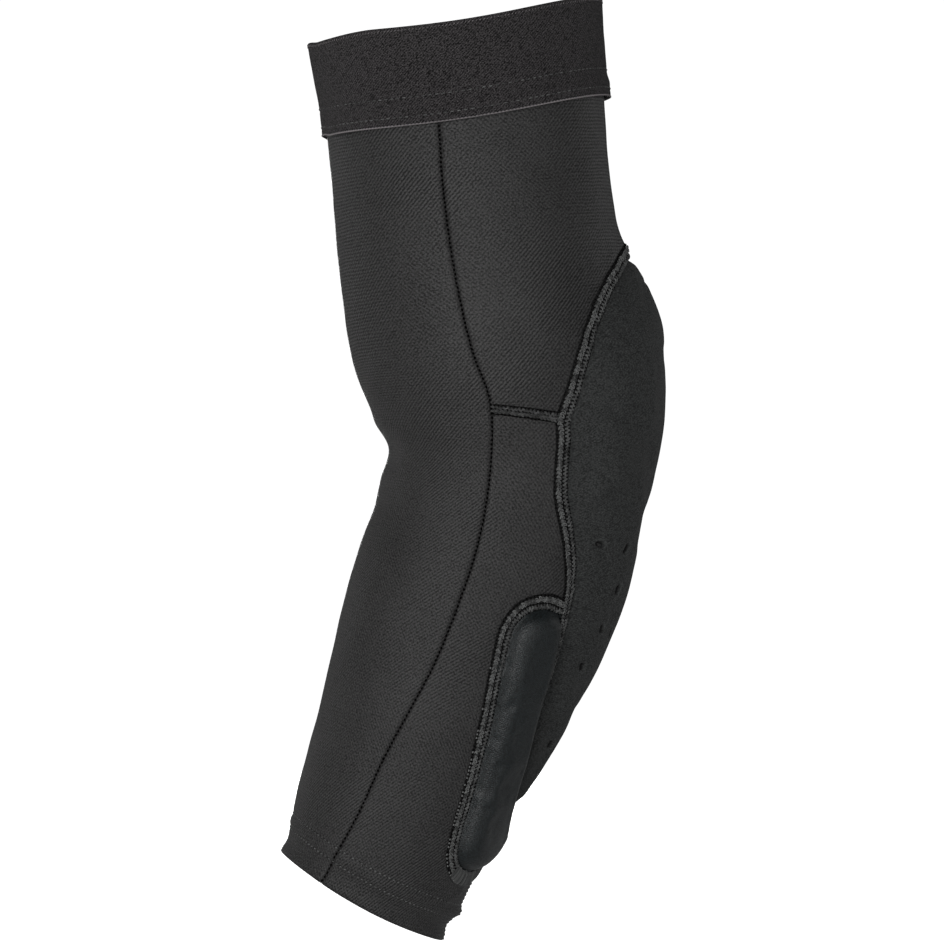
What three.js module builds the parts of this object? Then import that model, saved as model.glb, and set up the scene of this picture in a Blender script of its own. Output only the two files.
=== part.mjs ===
// Elbow guard: a pull-on compression sleeve for the left arm, with an impact
// pad over the point of the elbow and a slim pad down the outer forearm.
// Millimetres. +Z runs up the arm, +X points out of the back of the elbow and
// -Y is the outer side of the arm. The origin is the elbow's bending centre.
// The guard stands as worn, with the arm slightly bent.
//
// A place on the sleeve is given by phi, the angle round the arm in degrees
// (0 at the back, 90 at the outer side, 180 at the front), by u, the distance
// along the arm line (up from the elbow), and by h, the height above the
// outer face of the knitted tube.

import * as THREE from 'three';

// ---- Arm line -------------------------------------------------------------

const UPPER_LEAN = 6.5; // degrees the upper arm leans to the front going up
const FOREARM_LEAN = 18; // degrees the forearm leans to the front going down
const BEND_REACH = 40; // the bend starts and ends this far from the elbow

// ---- Knitted tube: [u, front depth, back depth] from the arm line ----------

const STATIONS = [
  [-164, 30.2, 29.6],
  [-150, 30.8, 32.0],
  [-130, 32.6, 34.8],
  [-100, 34.2, 37.7],
  [-70, 36.8, 39.9],
  [-40, 37.9, 41.5],
  [-20, 37.2, 41.7],
  [0, 36.2, 43.0],
  [15, 41.2, 44.4],
  [30, 45.8, 45.5],
  [50, 48.0, 46.2],
  [75, 48.7, 46.5],
  [100, 47.8, 46.5],
  [120, 47.6, 47.5],
  [154, 49.3, 49.0],
];
const WIDTH_RATIO = 0.9; // half width of the arm over its mean half depth
const MM_PER_DEGREE = 0.75; // length of one degree of phi on the sleeve

// ---- Cloth, threads and foam -------------------------------------------------

const KNIT = 1.2; // thickness of the panel fabric
const GAP = 0.3; // clearance between neighbouring pieces
const FLATLOCK_WIDTH = 3.6; // seam round both pads
const FLATLOCK_RISE = 0.6; // how far its threads stand proud
const CROSS_SEAM_WIDTH = 3.0;
const THREAD_WIDTH = 0.8; // plain seams of the front panel
const COVER = 1.2; // thickness of the pad covers
const LINING = 0.7; // thickness of the pocket linings
const LINING_TOP = -1.0; // outer face of the linings
const FOAM_BASE = -0.6; // inner face of both foam pads
const FOAM_CLEARANCE = 0.4; // between foam and cover

const PAD_THICKNESS = 11.2; // elbow pad with its cover, at the elbow
const PAD_THICKNESS_TIP = 9.4; // the same near the lower tip
const PAD_THINS = { from: -45, to: -100 }; // u over which it thins to that
const PAD_SLOPE = 26; // distance over which the pad's edge rises
const SIDE_PAD_THICKNESS = 4.4;
const SIDE_PAD_SLOPE = 8;

// ---- Cuff and hem --------------------------------------------------------------

const CUFF_LOW = 117.9; // mean lower edge of the cuff band
const CUFF_LOW_TILT = 1.7; // higher at the back by this much
const CUFF_TOP = 151;
const CUFF_TOP_TILT = 1;
const CUFF_STANDOFF = 0.6; // inner face of the band above the sleeve
const CUFF_THICKNESS = 1.4;
const SLEEVE_TOP = 128; // the sleeve ends inside the band
const CUFF_STITCH_ROWS = [2.6, 9]; // above the band's lower edge
const CUFF_BEADS = [15, 21.5, 28]; // silicone lines, above the same edge
const HEM_MEAN = -155; // mean lower end of the sleeve
const HEM_TILT = 6; // lower at the back by this much
const HEM_STITCH_ROWS = [10, 15.2]; // above the hem edge
const HEM_TAPE = [3, 17.5];
const HEM_BEADS = [6.5, 13];
const BEAD_WIDTH = 3;
const BEAD_HEIGHT = 0.8;
const RING_SEGMENTS = 24;
const HEM_CORNER = 118; // phi of the front seam at the hem

// ---- Room for the elbow to bend ------------------------------------------------
// Pieces above and below the elbow stop at planes that open like a book from
// the bending axis; the cloth and foam between them stretch and bunch.

const BEND_TILT = (FOREARM_LEAN - UPPER_LEAN) / 2;
const FRONT_OPENING = { upper: 44, forearm: 50 }; // degrees each side
const BACK_OPENING = 15;
const AXIS_CLEARANCE = 3;
const ELBOW_CUT = -8; // u near which the forearm pieces start beside the elbow
const CUT_CLEARANCE = 0.2;

// ---- Seam lines ------------------------------------------------------------------

const FRONT_SEAM = [
  [-162, 121],
  [-151, 118.5],
  [-128, 109],
  [-107, 104],
  [-89, 98],
  [-70, 92.5],
  [-40, 90],
  [0, 91],
  [20, 92.5],
  [36, 98],
  [57, 101],
  [90, 102.5],
  [128, 100.5],
];
const CROSS_SEAM = { front: 17.6, pad: 14.6 }; // u at its two ends

// Side pad border from the elbow pad's seam round the forearm: [phi, u].
const SIDE_BORDER = [
  [37, -39.6],
  [48, -39.2],
  [59.5, -42.6],
  [66, -50.5],
  [64.5, -66],
  [60.5, -82],
  [56.8, -97],
  [54, -111],
  [52.3, -122],
  [48.5, -131.5],
  [40, -137],
  [28, -138.8],
  [13, -137.2],
  [0, -133],
  [-7, -126],
  [-9, -118.5],
];

const BORDER_AT_BACK = -133; // u where that border crosses the back of the arm

const COLOURS = {
  knit: { color: 0x2b2b2c, roughness: 0.82, metalness: 0 },
  cuff: { color: 0x272526, roughness: 0.95, metalness: 0 },
  cover: { color: 0x252727, roughness: 0.75, metalness: 0 },
  sideCover: { color: 0x1a1e1f, roughness: 0.6, metalness: 0 },
  thread: { color: 0x1c1c1c, roughness: 0.7, metalness: 0 },
  paleThread: { color: 0x6e6a6c, roughness: 0.8, metalness: 0 },
  foam: { color: 0x3a3a3c, roughness: 0.9, metalness: 0 },
  lining: { color: 0x333436, roughness: 0.9, metalness: 0 },
  silicone: { color: 0x4a4c4e, roughness: 0.45, metalness: 0 },
};

const group = new THREE.Group();
const radians = THREE.MathUtils.degToRad;
const tangentOf = (degrees) => Math.tan(radians(degrees));

// ---- The sleeve's surface ----------------------------------------------------------

const depths = new THREE.CubicInterpolant(
  STATIONS.map((station) => station[0]),
  STATIONS.flatMap((station) => station.slice(1)),
  2,
);
const frontSeamAngle = new THREE.CubicInterpolant(
  FRONT_SEAM.map((point) => point[0]),
  FRONT_SEAM.map((point) => point[1]),
  1,
);
const upperEnd = new THREE.Vector2(0, BEND_REACH)
  .rotateAround(new THREE.Vector2(), radians(UPPER_LEAN));
const lowerEnd = new THREE.Vector2(0, -BEND_REACH)
  .rotateAround(new THREE.Vector2(), -radians(FOREARM_LEAN));

// Point and upward direction of the arm line, in the XZ plane.
function armLine(u) {
  if (u > BEND_REACH) {
    return { point: upperEnd.clone().multiplyScalar(u / BEND_REACH), along: upperEnd };
  }
  if (u < -BEND_REACH) {
    const point = lowerEnd.clone().multiplyScalar(-u / BEND_REACH);
    return { point, along: lowerEnd.clone().negate() };
  }
  const t = (u + BEND_REACH) / (2 * BEND_REACH);
  const point = lowerEnd.clone().multiplyScalar((1 - t) ** 2)
    .addScaledVector(upperEnd, t ** 2);
  const along = lowerEnd.clone().multiplyScalar(t - 1).addScaledVector(upperEnd, t);
  return { point, along };
}

function skin(phi, u) {
  const { point, along } = armLine(u);
  const [front, back] = depths.evaluate(u);
  const length = along.length();
  const reach = Math.cos(radians(phi)) * (Math.cos(radians(phi)) > 0 ? back : front);
  const halfWidth = WIDTH_RATIO * (front + back) / 2;
  return new THREE.Vector3(
    point.x + (along.y / length) * reach,
    -Math.sin(radians(phi)) * halfWidth,
    point.y - (along.x / length) * reach,
  );
}

function place(phi, u, h) {
  const alongArm = skin(phi, u + 0.5).sub(skin(phi, u - 0.5));
  const aroundArm = skin(phi + 0.5, u).sub(skin(phi - 0.5, u));
  return skin(phi, u).addScaledVector(alongArm.cross(aroundArm).normalize(), h);
}

// ---- Where the rigid pieces stop, and the edges of the cuff and hem -----------------

// u at which the sleeve at phi leaves the space kept for the bending elbow.
function cut(phi, side) {
  const opening = side > 0 ? FRONT_OPENING.upper : FRONT_OPENING.forearm;
  const tilt = radians(BEND_TILT);
  let near = 0;
  let far = 110;
  for (let step = 0; step < 30; step += 1) {
    const middle = (near + far) / 2;
    const point = skin(phi, side * middle);
    const outward = point.x * Math.cos(tilt) - point.z * Math.sin(tilt);
    const upward = point.x * Math.sin(tilt) + point.z * Math.cos(tilt);
    const slope = tangentOf(outward < 0 ? opening : BACK_OPENING);
    const clear = side * upward > AXIS_CLEARANCE + slope * Math.abs(outward);
    if (clear) far = middle;
    else near = middle;
  }
  return side * far;
}

const cuffLow = (phi) => CUFF_LOW + CUFF_LOW_TILT * Math.cos(radians(phi));
const cuffTop = (phi) => CUFF_TOP + CUFF_TOP_TILT * Math.cos(radians(phi));
const hemEdge = (phi) => HEM_MEAN - HEM_TILT * Math.cos(radians(phi));

// ---- Seam paths: lists of [phi, u] -----------------------------------------------------

const lerp = THREE.MathUtils.lerp;
const mirror = (path) => path.map(([phi, u]) => [-phi, u]);

function curveThrough(points, closed) {
  const flat = points.map(([phi, u]) => new THREE.Vector3(phi * MM_PER_DEGREE, u, 0));
  const curve = new THREE.CatmullRomCurve3(flat, closed, 'centripetal');
  curve.spans = closed ? points.length : points.length - 1;
  return curve;
}

// Points at the given knots of a curve, moved sideways by offset.
function along(curve, knots, offset) {
  return knots.map((knot) => {
    const t = curve.closed ? (knot / curve.spans) % 1 : knot / curve.spans;
    const point = curve.getPoint(t);
    const direction = curve.getTangent(t);
    return [
      (point.x - direction.y * offset) / MM_PER_DEGREE,
      point.y + direction.x * offset,
    ];
  });
}

// A stretch of the front seam, shifted round the sleeve by offset.
function frontSeam(levels, offset) {
  return levels.map((u) => [frontSeamAngle.evaluate(u)[0] + offset / MM_PER_DEGREE, u]);
}

const spread = (from, to, steps) =>
  Array.from({ length: steps + 1 }, (_, i) => lerp(from, to, i / steps));

const ringAngles = spread(0, 360, RING_SEGMENTS).slice(0, -1);

// The same number of levels as the path has points, spaced as the path is.
function matchingLevels(path, from, to) {
  const lengths = [0];
  for (let i = 1; i < path.length; i += 1) {
    const across = (path[i][0] - path[i - 1][0]) * MM_PER_DEGREE;
    const down = path[i][1] - path[i - 1][1];
    lengths.push(lengths[i - 1] + Math.hypot(across, down));
  }
  return lengths.map((length) => lerp(from, to, length / lengths.at(-1)));
}

// The elbow pad's outline: outer half from the top to the lower tip.
const PAD_HALF = [
  [0, 65.4],
  [20, 59],
  [31, 52],
  [40, 43.5],
  [48, 33],
  [53, 23.5],
  [57.5, CROSS_SEAM.pad],
  [57, cut(57, 1)],
  [54.5, cut(54.5, -1)],
  [45, -20],
  [37.5, -30],
  [33, -40],
  [29, -52],
  [26, -64],
  [24, -78],
  [21, -91],
  [15.5, -103],
  [8.5, -110.5],
  [0, -114],
];
const KNOTS = PAD_HALF.length * 2 - 2;
const UPPER_CORNER = 3; // knots of the outline, counted down the outer side
const CROSS_KNOT = 6;
const UPPER_CUT_KNOT = 7;
const LOWER_CUT_KNOT = 8;
const LOWER_CORNER = 16;
const TIP_KNOT = 18;
const padOutline = curveThrough(
  [...PAD_HALF, ...mirror(PAD_HALF.slice(1, -1)).reverse()],
  true,
);
const sideBorder = curveThrough(SIDE_BORDER, false);
const inner = (knots) => knots.map((knot) => KNOTS - knot);

// ---- Solids ---------------------------------------------------------------------------

function addMesh(name, finish, vertices, triangles) {
  let volume = 0;
  for (const [a, b, c] of triangles) {
    volume += vertices[a].dot(vertices[b].clone().cross(vertices[c]));
  }
  const faces = volume < 0 ? triangles.map(([a, b, c]) => [a, c, b]) : triangles;
  const geometry = new THREE.BufferGeometry();
  geometry.setAttribute(
    'position',
    new THREE.Float32BufferAttribute(vertices.flatMap((v) => v.toArray()), 3),
  );
  geometry.setIndex(faces.flat());
  geometry.computeVertexNormals();
  const mesh = new THREE.Mesh(geometry, new THREE.MeshStandardMaterial(finish));
  mesh.name = name;
  group.add(mesh);
}

// Closed shell over a grid of [phi, u] places between heights low and high.
function addShell(name, finish, grid, low, high, closed = false) {
  const rows = grid.length;
  const columns = grid[0].length;
  const vertices = [];
  for (const height of [high, low]) {
    for (const row of grid) {
      for (const [phi, u] of row) vertices.push(place(phi, u, height(phi, u)));
    }
  }
  const at = (layer, row, column) => (layer * rows + row) * columns + (column % columns);
  const triangles = [];
  const quad = (a, b, c, d) => triangles.push([a, b, c], [a, c, d]);
  const lastColumn = closed ? columns : columns - 1;
  for (let r = 0; r < rows - 1; r += 1) {
    for (let c = 0; c < lastColumn; c += 1) {
      quad(at(0, r, c), at(0, r, c + 1), at(0, r + 1, c + 1), at(0, r + 1, c));
      quad(at(1, r, c), at(1, r + 1, c), at(1, r + 1, c + 1), at(1, r, c + 1));
    }
  }
  for (let c = 0; c < lastColumn; c += 1) {
    quad(at(0, 0, c), at(1, 0, c), at(1, 0, c + 1), at(0, 0, c + 1));
    quad(at(0, rows - 1, c), at(0, rows - 1, c + 1), at(1, rows - 1, c + 1), at(1, rows - 1, c));
  }
  for (let r = 0; r < rows - 1 && !closed; r += 1) {
    quad(at(0, r, 0), at(0, r + 1, 0), at(1, r + 1, 0), at(1, r, 0));
    const end = columns - 1;
    quad(at(0, r, end), at(1, r, end), at(1, r + 1, end), at(0, r + 1, end));
  }
  addMesh(name, finish, vertices, triangles);
}

const level = (height) => () => height;

// Grid that blends four border paths. low and high run across, left and right up.
function blendBorders({ low, high, left, right }, across, upward) {
  const [p00, p10] = [low[0], low.at(-1)];
  const [p01, p11] = [high[0], high.at(-1)];
  return upward.map((t, row) => across.map((s, column) => [0, 1].map((k) => {
    if (row === 0) return low[column][k];
    if (row === upward.length - 1) return high[column][k];
    if (column === 0) return left[row][k];
    if (column === across.length - 1) return right[row][k];
    const ruled = lerp(low[column][k], high[column][k], t) + lerp(left[row][k], right[row][k], s);
    return ruled - lerp(lerp(p00[k], p10[k], s), lerp(p01[k], p11[k], s), t);
  })));
}

// Grid between two paths with the same number of points.
function ruled(pathA, pathB, steps) {
  return pathA.map((start, i) => spread(0, 1, steps).map((t) => [
    lerp(start[0], pathB[i][0], t),
    lerp(start[1], pathB[i][1], t),
  ]));
}

// Strip of seam between two sideways offsets of one path.
function addStrip(name, finish, left, right, low, high) {
  addShell(name, finish, ruled(left, right, 1), level(low), level(high));
}

// Ring round the sleeve between two edges given as functions of phi.
function addRing(name, finish, lowEdge, highEdge, low, high, rows = 1) {
  const grid = spread(0, 1, rows).map((t) =>
    ringAngles.map((phi) => [phi, lerp(lowEdge(phi), highEdge(phi), t)]));
  addShell(name, finish, grid, level(low), level(high), true);
}

// ---- Cuff ---------------------------------------------------------------------------------

const cuffFace = CUFF_STANDOFF + CUFF_THICKNESS;
addRing('cuff_elastic_band', COLOURS.cuff, cuffLow, cuffTop, CUFF_STANDOFF, cuffFace, 2);
addRing(
  'cuff_edge_thread',
  COLOURS.paleThread,
  (phi) => cuffLow(phi) - GAP - THREAD_WIDTH,
  (phi) => cuffLow(phi) - GAP,
  CUFF_STANDOFF,
  cuffFace,
);
CUFF_STITCH_ROWS.forEach((rise, i) => addRing(
  `cuff_stitch_row_${['lower', 'upper'][i]}`,
  COLOURS.thread,
  (phi) => cuffLow(phi) + rise - THREAD_WIDTH / 2,
  (phi) => cuffLow(phi) + rise + THREAD_WIDTH / 2,
  cuffFace + GAP,
  cuffFace + GAP + 0.4,
));
CUFF_BEADS.forEach((rise, i) => addRing(
  `cuff_grip_bead_${i + 1}`,
  COLOURS.silicone,
  (phi) => cuffLow(phi) + rise - BEAD_WIDTH / 2,
  (phi) => cuffLow(phi) + rise + BEAD_WIDTH / 2,
  CUFF_STANDOFF - GAP - BEAD_HEIGHT,
  CUFF_STANDOFF - GAP,
));

// ---- Hem ------------------------------------------------------------------------------------

HEM_STITCH_ROWS.forEach((rise, i) => addRing(
  `hem_stitch_row_${['lower', 'upper'][i]}`,
  COLOURS.thread,
  (phi) => hemEdge(phi) + rise - THREAD_WIDTH / 2,
  (phi) => hemEdge(phi) + rise + THREAD_WIDTH / 2,
  0.5,
  0.9,
));
const tapeFace = -KNIT - 0.5;
addRing(
  'hem_grip_tape',
  COLOURS.lining,
  (phi) => hemEdge(phi) + HEM_TAPE[0],
  (phi) => hemEdge(phi) + HEM_TAPE[1],
  tapeFace - 0.8,
  tapeFace,
);
HEM_BEADS.forEach((rise, i) => addRing(
  `hem_grip_bead_${i + 1}`,
  COLOURS.silicone,
  (phi) => hemEdge(phi) + rise - BEAD_WIDTH / 2,
  (phi) => hemEdge(phi) + rise + BEAD_WIDTH / 2,
  tapeFace - 0.8 - GAP - BEAD_HEIGHT,
  tapeFace - 0.8 - GAP,
));

// ---- Front panel and its seams ------------------------------------------------------------------

const threadSide = THREAD_WIDTH / 2;
const panelSide = threadSide + 2 * GAP;
const frontSteps = spread(0, 1, 14);

// The front panel between two edge functions of phi, from seam to seam.
function addFrontPanel(name, lowEdge, highEdge, rows) {
  const edgeLevels = (edge) => {
    let u = edge(frontSeamAngle.evaluate(0)[0] + panelSide);
    for (let i = 0; i < 8; i += 1) {
      u = edge(frontSeamAngle.evaluate(u)[0] + panelSide / MM_PER_DEGREE);
    }
    return u;
  };
  const start = edgeLevels(lowEdge);
  const end = edgeLevels(highEdge);
  const left = frontSeam(spread(start, end, rows), panelSide);
  const right = left.map(([phi, u]) => [360 - phi, u]);
  const edgePath = (edge, corner) => frontSteps.map((s) => {
    const phi = lerp(corner[0], 360 - corner[0], s);
    return [phi, edge(phi)];
  });
  const low = edgePath(lowEdge, left[0]);
  const high = edgePath(highEdge, left.at(-1));
  const grid = blendBorders({ low, high, left, right }, frontSteps, spread(0, 1, rows));
  addShell(name, COLOURS.knit, grid, level(-KNIT), level(0));
  return left.map(([, u]) => u);
}

const sleeveTop = level(SLEEVE_TOP);
const cutEdge = (side, shift) => (phi) => cut(phi > 180 ? 360 - phi : phi, side) + shift;
const [upperCut, lowerCut] = [cutEdge(1, CUT_CLEARANCE), cutEdge(-1, -CUT_CLEARANCE)];
const [crookTop, crookEnd] = [cutEdge(1, -CUT_CLEARANCE), cutEdge(-1, CUT_CLEARANCE)];
const seamLevelsOf = {
  upper: addFrontPanel('front_panel_upper', upperCut, sleeveTop, 6),
  crook: addFrontPanel('front_panel_crook', crookEnd, crookTop, 8),
  lower: addFrontPanel('front_panel_lower', hemEdge, lowerCut, 8),
};

for (const [part, levels] of Object.entries(seamLevelsOf)) {
  const left = frontSeam(levels, -threadSide);
  const right = frontSeam(levels, threadSide);
  const thread = COLOURS.thread;
  addStrip(`front_seam_outer_${part}`, thread, left, right, -KNIT + 0.1, -0.2);
  addStrip(`front_seam_inner_${part}`, thread, mirror(left), mirror(right), -KNIT + 0.1, -0.2);
}

// ---- Upper back panel and the cross seams ------------------------------------------------------

const flatlockSide = FLATLOCK_WIDTH / 2;
const clothSide = flatlockSide + GAP;
const crossSide = CROSS_SEAM_WIDTH / 2;
const seamAngle = (u) => frontSeamAngle.evaluate(u)[0];
const degreesOf = (mm) => mm / MM_PER_DEGREE;

// Across the cross seam, from the front seam to the pad seam, shifted up.
function crossPath(shift, side) {
  const from = [seamAngle(CROSS_SEAM.front) - degreesOf(panelSide), CROSS_SEAM.front + shift];
  const to = [along(padOutline, [CROSS_KNOT], clothSide)[0][0], CROSS_SEAM.pad + shift];
  return spread(0, 1, 3).map((t) => [side * lerp(from[0], to[0], t), lerp(from[1], to[1], t)]);
}

const padSideKnots = [CROSS_KNOT, 5, 4.5, 4, 3.5, UPPER_CORNER];
const archKnots = [2.6, 2, 1.5, 1, 0.66, 0.33, 0];
const outerHalf = along(padOutline, [...padSideKnots, ...archKnots], clothSide);
outerHalf[0] = crossPath(crossSide + GAP, 1).at(-1);
const panelTopAngles = spread(100.5, 0, archKnots.length).slice(1);
const seamLevels = spread(CROSS_SEAM.front + crossSide + GAP, SLEEVE_TOP, padSideKnots.length - 1);
const panelEdgeHalf = [
  ...frontSeam(seamLevels, -panelSide),
  ...panelTopAngles.map((phi) => [phi, SLEEVE_TOP]),
];
const bothSides = (half) => [...half, ...mirror(half.slice(0, -1)).reverse()];
addShell(
  'back_panel_upper',
  COLOURS.knit,
  ruled(bothSides(outerHalf), bothSides(panelEdgeHalf), 5),
  level(-KNIT),
  level(0),
);

for (const [side, name] of [[1, 'outer'], [-1, 'inner']]) {
  addStrip(
    `cross_seam_${name}`,
    COLOURS.thread,
    crossPath(-crossSide, side),
    crossPath(crossSide, side),
    -KNIT,
    FLATLOCK_RISE - 0.1,
  );
}

// ---- Side panels beside the elbow ---------------------------------------------------------------

const elbowKnots = [CROSS_KNOT, UPPER_CUT_KNOT, 7.5, LOWER_CUT_KNOT];
for (const [side, name] of [[1, 'outer'], [-1, 'inner']]) {
  const top = crossPath(-crossSide - GAP, side);
  const padEdge = along(padOutline, elbowKnots, clothSide);
  padEdge[0] = crossPath(-crossSide - GAP, 1).at(-1);
  const lowPhi = padEdge.at(-1)[0];
  padEdge[padEdge.length - 1] = [lowPhi, cut(lowPhi, -1) + CUT_CLEARANCE];
  const seamEdge = frontSeam(
    spread(top[0][1], cut(seamAngle(ELBOW_CUT), -1) + CUT_CLEARANCE, 3),
    -panelSide,
  );
  const pad = padEdge.map(([phi, u]) => [side * phi, u]);
  const seam = seamEdge.map(([phi, u]) => [side * phi, u]);
  addShell(`side_panel_elbow_${name}`, COLOURS.knit, ruled(pad, seam, 3), level(-KNIT), level(0));
}

// ---- Side panels of the forearm, and the short seam that joins them at the back ----------------

const backSeamTop = BORDER_AT_BACK - clothSide;

// Splits every step of a path into equal parts.
function divided(path, parts) {
  return path.slice(1).flatMap((end, i) => spread(0, 1, parts).slice(i ? 1 : 0).map((t) => [
    lerp(path[i][0], end[0], t),
    lerp(path[i][1], end[1], t),
  ]));
}

// A panel from the front seam to the pads, wrapped down to the hem. beside
// faces the front seam and below faces the hem.
function addForearmPanel(name, side, beside, below, parts) {
  const top = cut(side * beside[0][0], -1) - CUT_CLEARANCE;
  const padPath = [[beside[0][0], top], ...beside.slice(1), ...divided(below, parts).slice(1)];
  const seamTop = cut(seamAngle(ELBOW_CUT), -1) - CUT_CLEARANCE;
  const levels = matchingLevels(beside, seamTop, hemEdge(HEM_CORNER));
  const seam = frontSeam(levels, -panelSide);
  const hemSteps = padPath.length - seam.length;
  const hem = spread(HEM_CORNER, degreesOf(panelSide), hemSteps)
    .map((phi) => [phi, hemEdge(phi)]);
  const edge = [...seam.slice(0, -1), ...hem].map(([phi, u]) => [side * phi, u]);
  addShell(name, COLOURS.knit, ruled(padPath, edge, 6), level(-KNIT), level(0));
}

const besideElbowPad = along(padOutline, [LOWER_CUT_KNOT, 8.5, 9, 10, 10.6], clothSide);
const besideSidePad = along(
  sideBorder,
  [0.7, 1, 1.5, 2, 2.4, 2.8, 3.2, 4, 5, 6, 7, 8, 8.6, 9],
  clothSide,
);
const belowSidePad = along(sideBorder, [9, 10, 11, 12, 12.8], clothSide);
addForearmPanel('side_panel_outer', 1, [...besideElbowPad, ...besideSidePad], belowSidePad, 2);
const farSide = mirror(
  along(padOutline, [LOWER_CUT_KNOT, 8.5, 9, 10, 11, 12, 13, 14, 15, 16, 16.4, 17], clothSide),
);
const belowFarSide = [farSide.at(-1), ...along(sideBorder, [15, 14, 13.15], clothSide)];
addForearmPanel('side_panel_inner', -1, farSide, belowFarSide, 3);

const backSeamPath = (phi) => spread(backSeamTop, hemEdge(phi), 2).map((u) => [phi, u]);
addStrip(
  'back_seam_lower',
  COLOURS.thread,
  backSeamPath(-degreesOf(threadSide)),
  backSeamPath(degreesOf(threadSide)),
  -KNIT + 0.1,
  -0.2,
);

// ---- Elbow pad: seam, cover, foam core and pocket lining ---------------------------------------

const outlineSamples = along(padOutline, spread(0, KNOTS, 180), 0);
const borderSamples = along(sideBorder, spread(0, sideBorder.spans, 90), 0);

function distanceTo(path, phi, u) {
  let nearest = Infinity;
  for (const [otherPhi, otherU] of path) {
    const distance = Math.hypot((phi - otherPhi) * MM_PER_DEGREE, u - otherU);
    nearest = Math.min(nearest, distance);
  }
  return nearest;
}

// A pad's swell above its edge: steep at the seam, then nearly level.
function swell(distance, slope) {
  const reach = Math.min(distance / slope, 1);
  return (1 - (1 - reach) ** 2) ** 0.9;
}

function elbowPadRise(phi, u) {
  const { from, to } = PAD_THINS;
  const thinned = THREE.MathUtils.clamp((u - from) / (to - from), 0, 1);
  const thickness = lerp(PAD_THICKNESS, PAD_THICKNESS_TIP, thinned);
  return thickness * swell(distanceTo(outlineSamples, phi, u), PAD_SLOPE);
}

const sidePadRise = (phi, u) => {
  const edge = Math.min(distanceTo(outlineSamples, phi, u), distanceTo(borderSamples, phi, u));
  return SIDE_PAD_THICKNESS * swell(edge, SIDE_PAD_SLOPE);
};

// Cover, foam and lining of one stretch of pad. The foam leaves out the
// columns and rows of the grid that lie against the seam.
function addPadStack(names, finish, grid, rise, seamRows) {
  const coverLow = (phi, u) => rise(phi, u) + FLATLOCK_RISE - COVER;
  const coverHigh = (phi, u) => rise(phi, u) + FLATLOCK_RISE;
  const foamHigh = (phi, u) => coverLow(phi, u) - FOAM_CLEARANCE;
  const firstRow = seamRows.low ? 1 : 0;
  const lastRow = seamRows.high ? -1 : grid.length;
  const foamGrid = grid.slice(firstRow, lastRow).map((row) => row.slice(1, -1));
  addShell(names.cover, finish, grid, coverLow, coverHigh);
  addShell(names.foam, COLOURS.foam, foamGrid, level(FOAM_BASE), foamHigh);
  addShell(names.lining, COLOURS.lining, grid, level(LINING_TOP - LINING), level(LINING_TOP));
}

const padNames = (part) => ({
  cover: `elbow_pad_cover_${part}`,
  foam: `elbow_pad_core_${part}`,
  lining: `pad_pocket_lining_${part}`,
});
const acrossPad = [0, 0.07, 0.18, 0.33, 0.5, 0.67, 0.82, 0.93, 1];

// Line across the pad along one of the planes that stop the rigid pieces.
function padCutPath(knot, side, shift) {
  const [end] = along(padOutline, [knot], -clothSide);
  return acrossPad.map((s) => {
    const phi = lerp(-end[0], end[0], s);
    return [phi, cut(phi, side) + shift];
  });
}

function padGrid(low, high, sideKnots) {
  const right = along(padOutline, sideKnots, -clothSide);
  const levels = matchingLevels(right, 0, 1);
  return blendBorders({ low, high, left: mirror(right), right }, acrossPad, levels);
}

const archAcross = [-3, -2.6, -2, -1, 0, 1, 2, 2.6, 3].map((knot) => (knot + KNOTS) % KNOTS);
const tipAcross = [20, 19.6, 19, 18.5, 18, 17.5, 17, 16.4, 16];
addPadStack(
  padNames('upper'),
  COLOURS.cover,
  padGrid(
    padCutPath(UPPER_CUT_KNOT, 1, CUT_CLEARANCE),
    along(padOutline, archAcross, -clothSide),
    [UPPER_CUT_KNOT, CROSS_KNOT, 5, 4.5, 4, 3.5, UPPER_CORNER],
  ),
  elbowPadRise,
  { low: false, high: true },
);
addPadStack(
  padNames('elbow'),
  COLOURS.cover,
  padGrid(
    padCutPath(LOWER_CUT_KNOT, -1, CUT_CLEARANCE),
    padCutPath(UPPER_CUT_KNOT, 1, -CUT_CLEARANCE),
    [LOWER_CUT_KNOT, 7.5, UPPER_CUT_KNOT],
  ),
  elbowPadRise,
  { low: false, high: false },
);
addPadStack(
  padNames('lower'),
  COLOURS.cover,
  padGrid(
    along(padOutline, tipAcross, -clothSide),
    padCutPath(LOWER_CUT_KNOT, -1, -CUT_CLEARANCE),
    [LOWER_CORNER, 15.6, 15, 14, 13, 12, 11, 10, 9, 8.5, LOWER_CUT_KNOT],
  ),
  elbowPadRise,
  { low: true, high: false },
);

function addPadSeam(name, knots, trim) {
  const left = along(padOutline, knots, -flatlockSide);
  const right = along(padOutline, knots, flatlockSide);
  for (const path of [left, right]) {
    for (const [index, side, shift] of trim) {
      const end = path.at(index);
      end[1] = cut(end[0], side) + shift;
    }
  }
  addStrip(name, COLOURS.thread, left, right, -KNIT, FLATLOCK_RISE);
}

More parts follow.
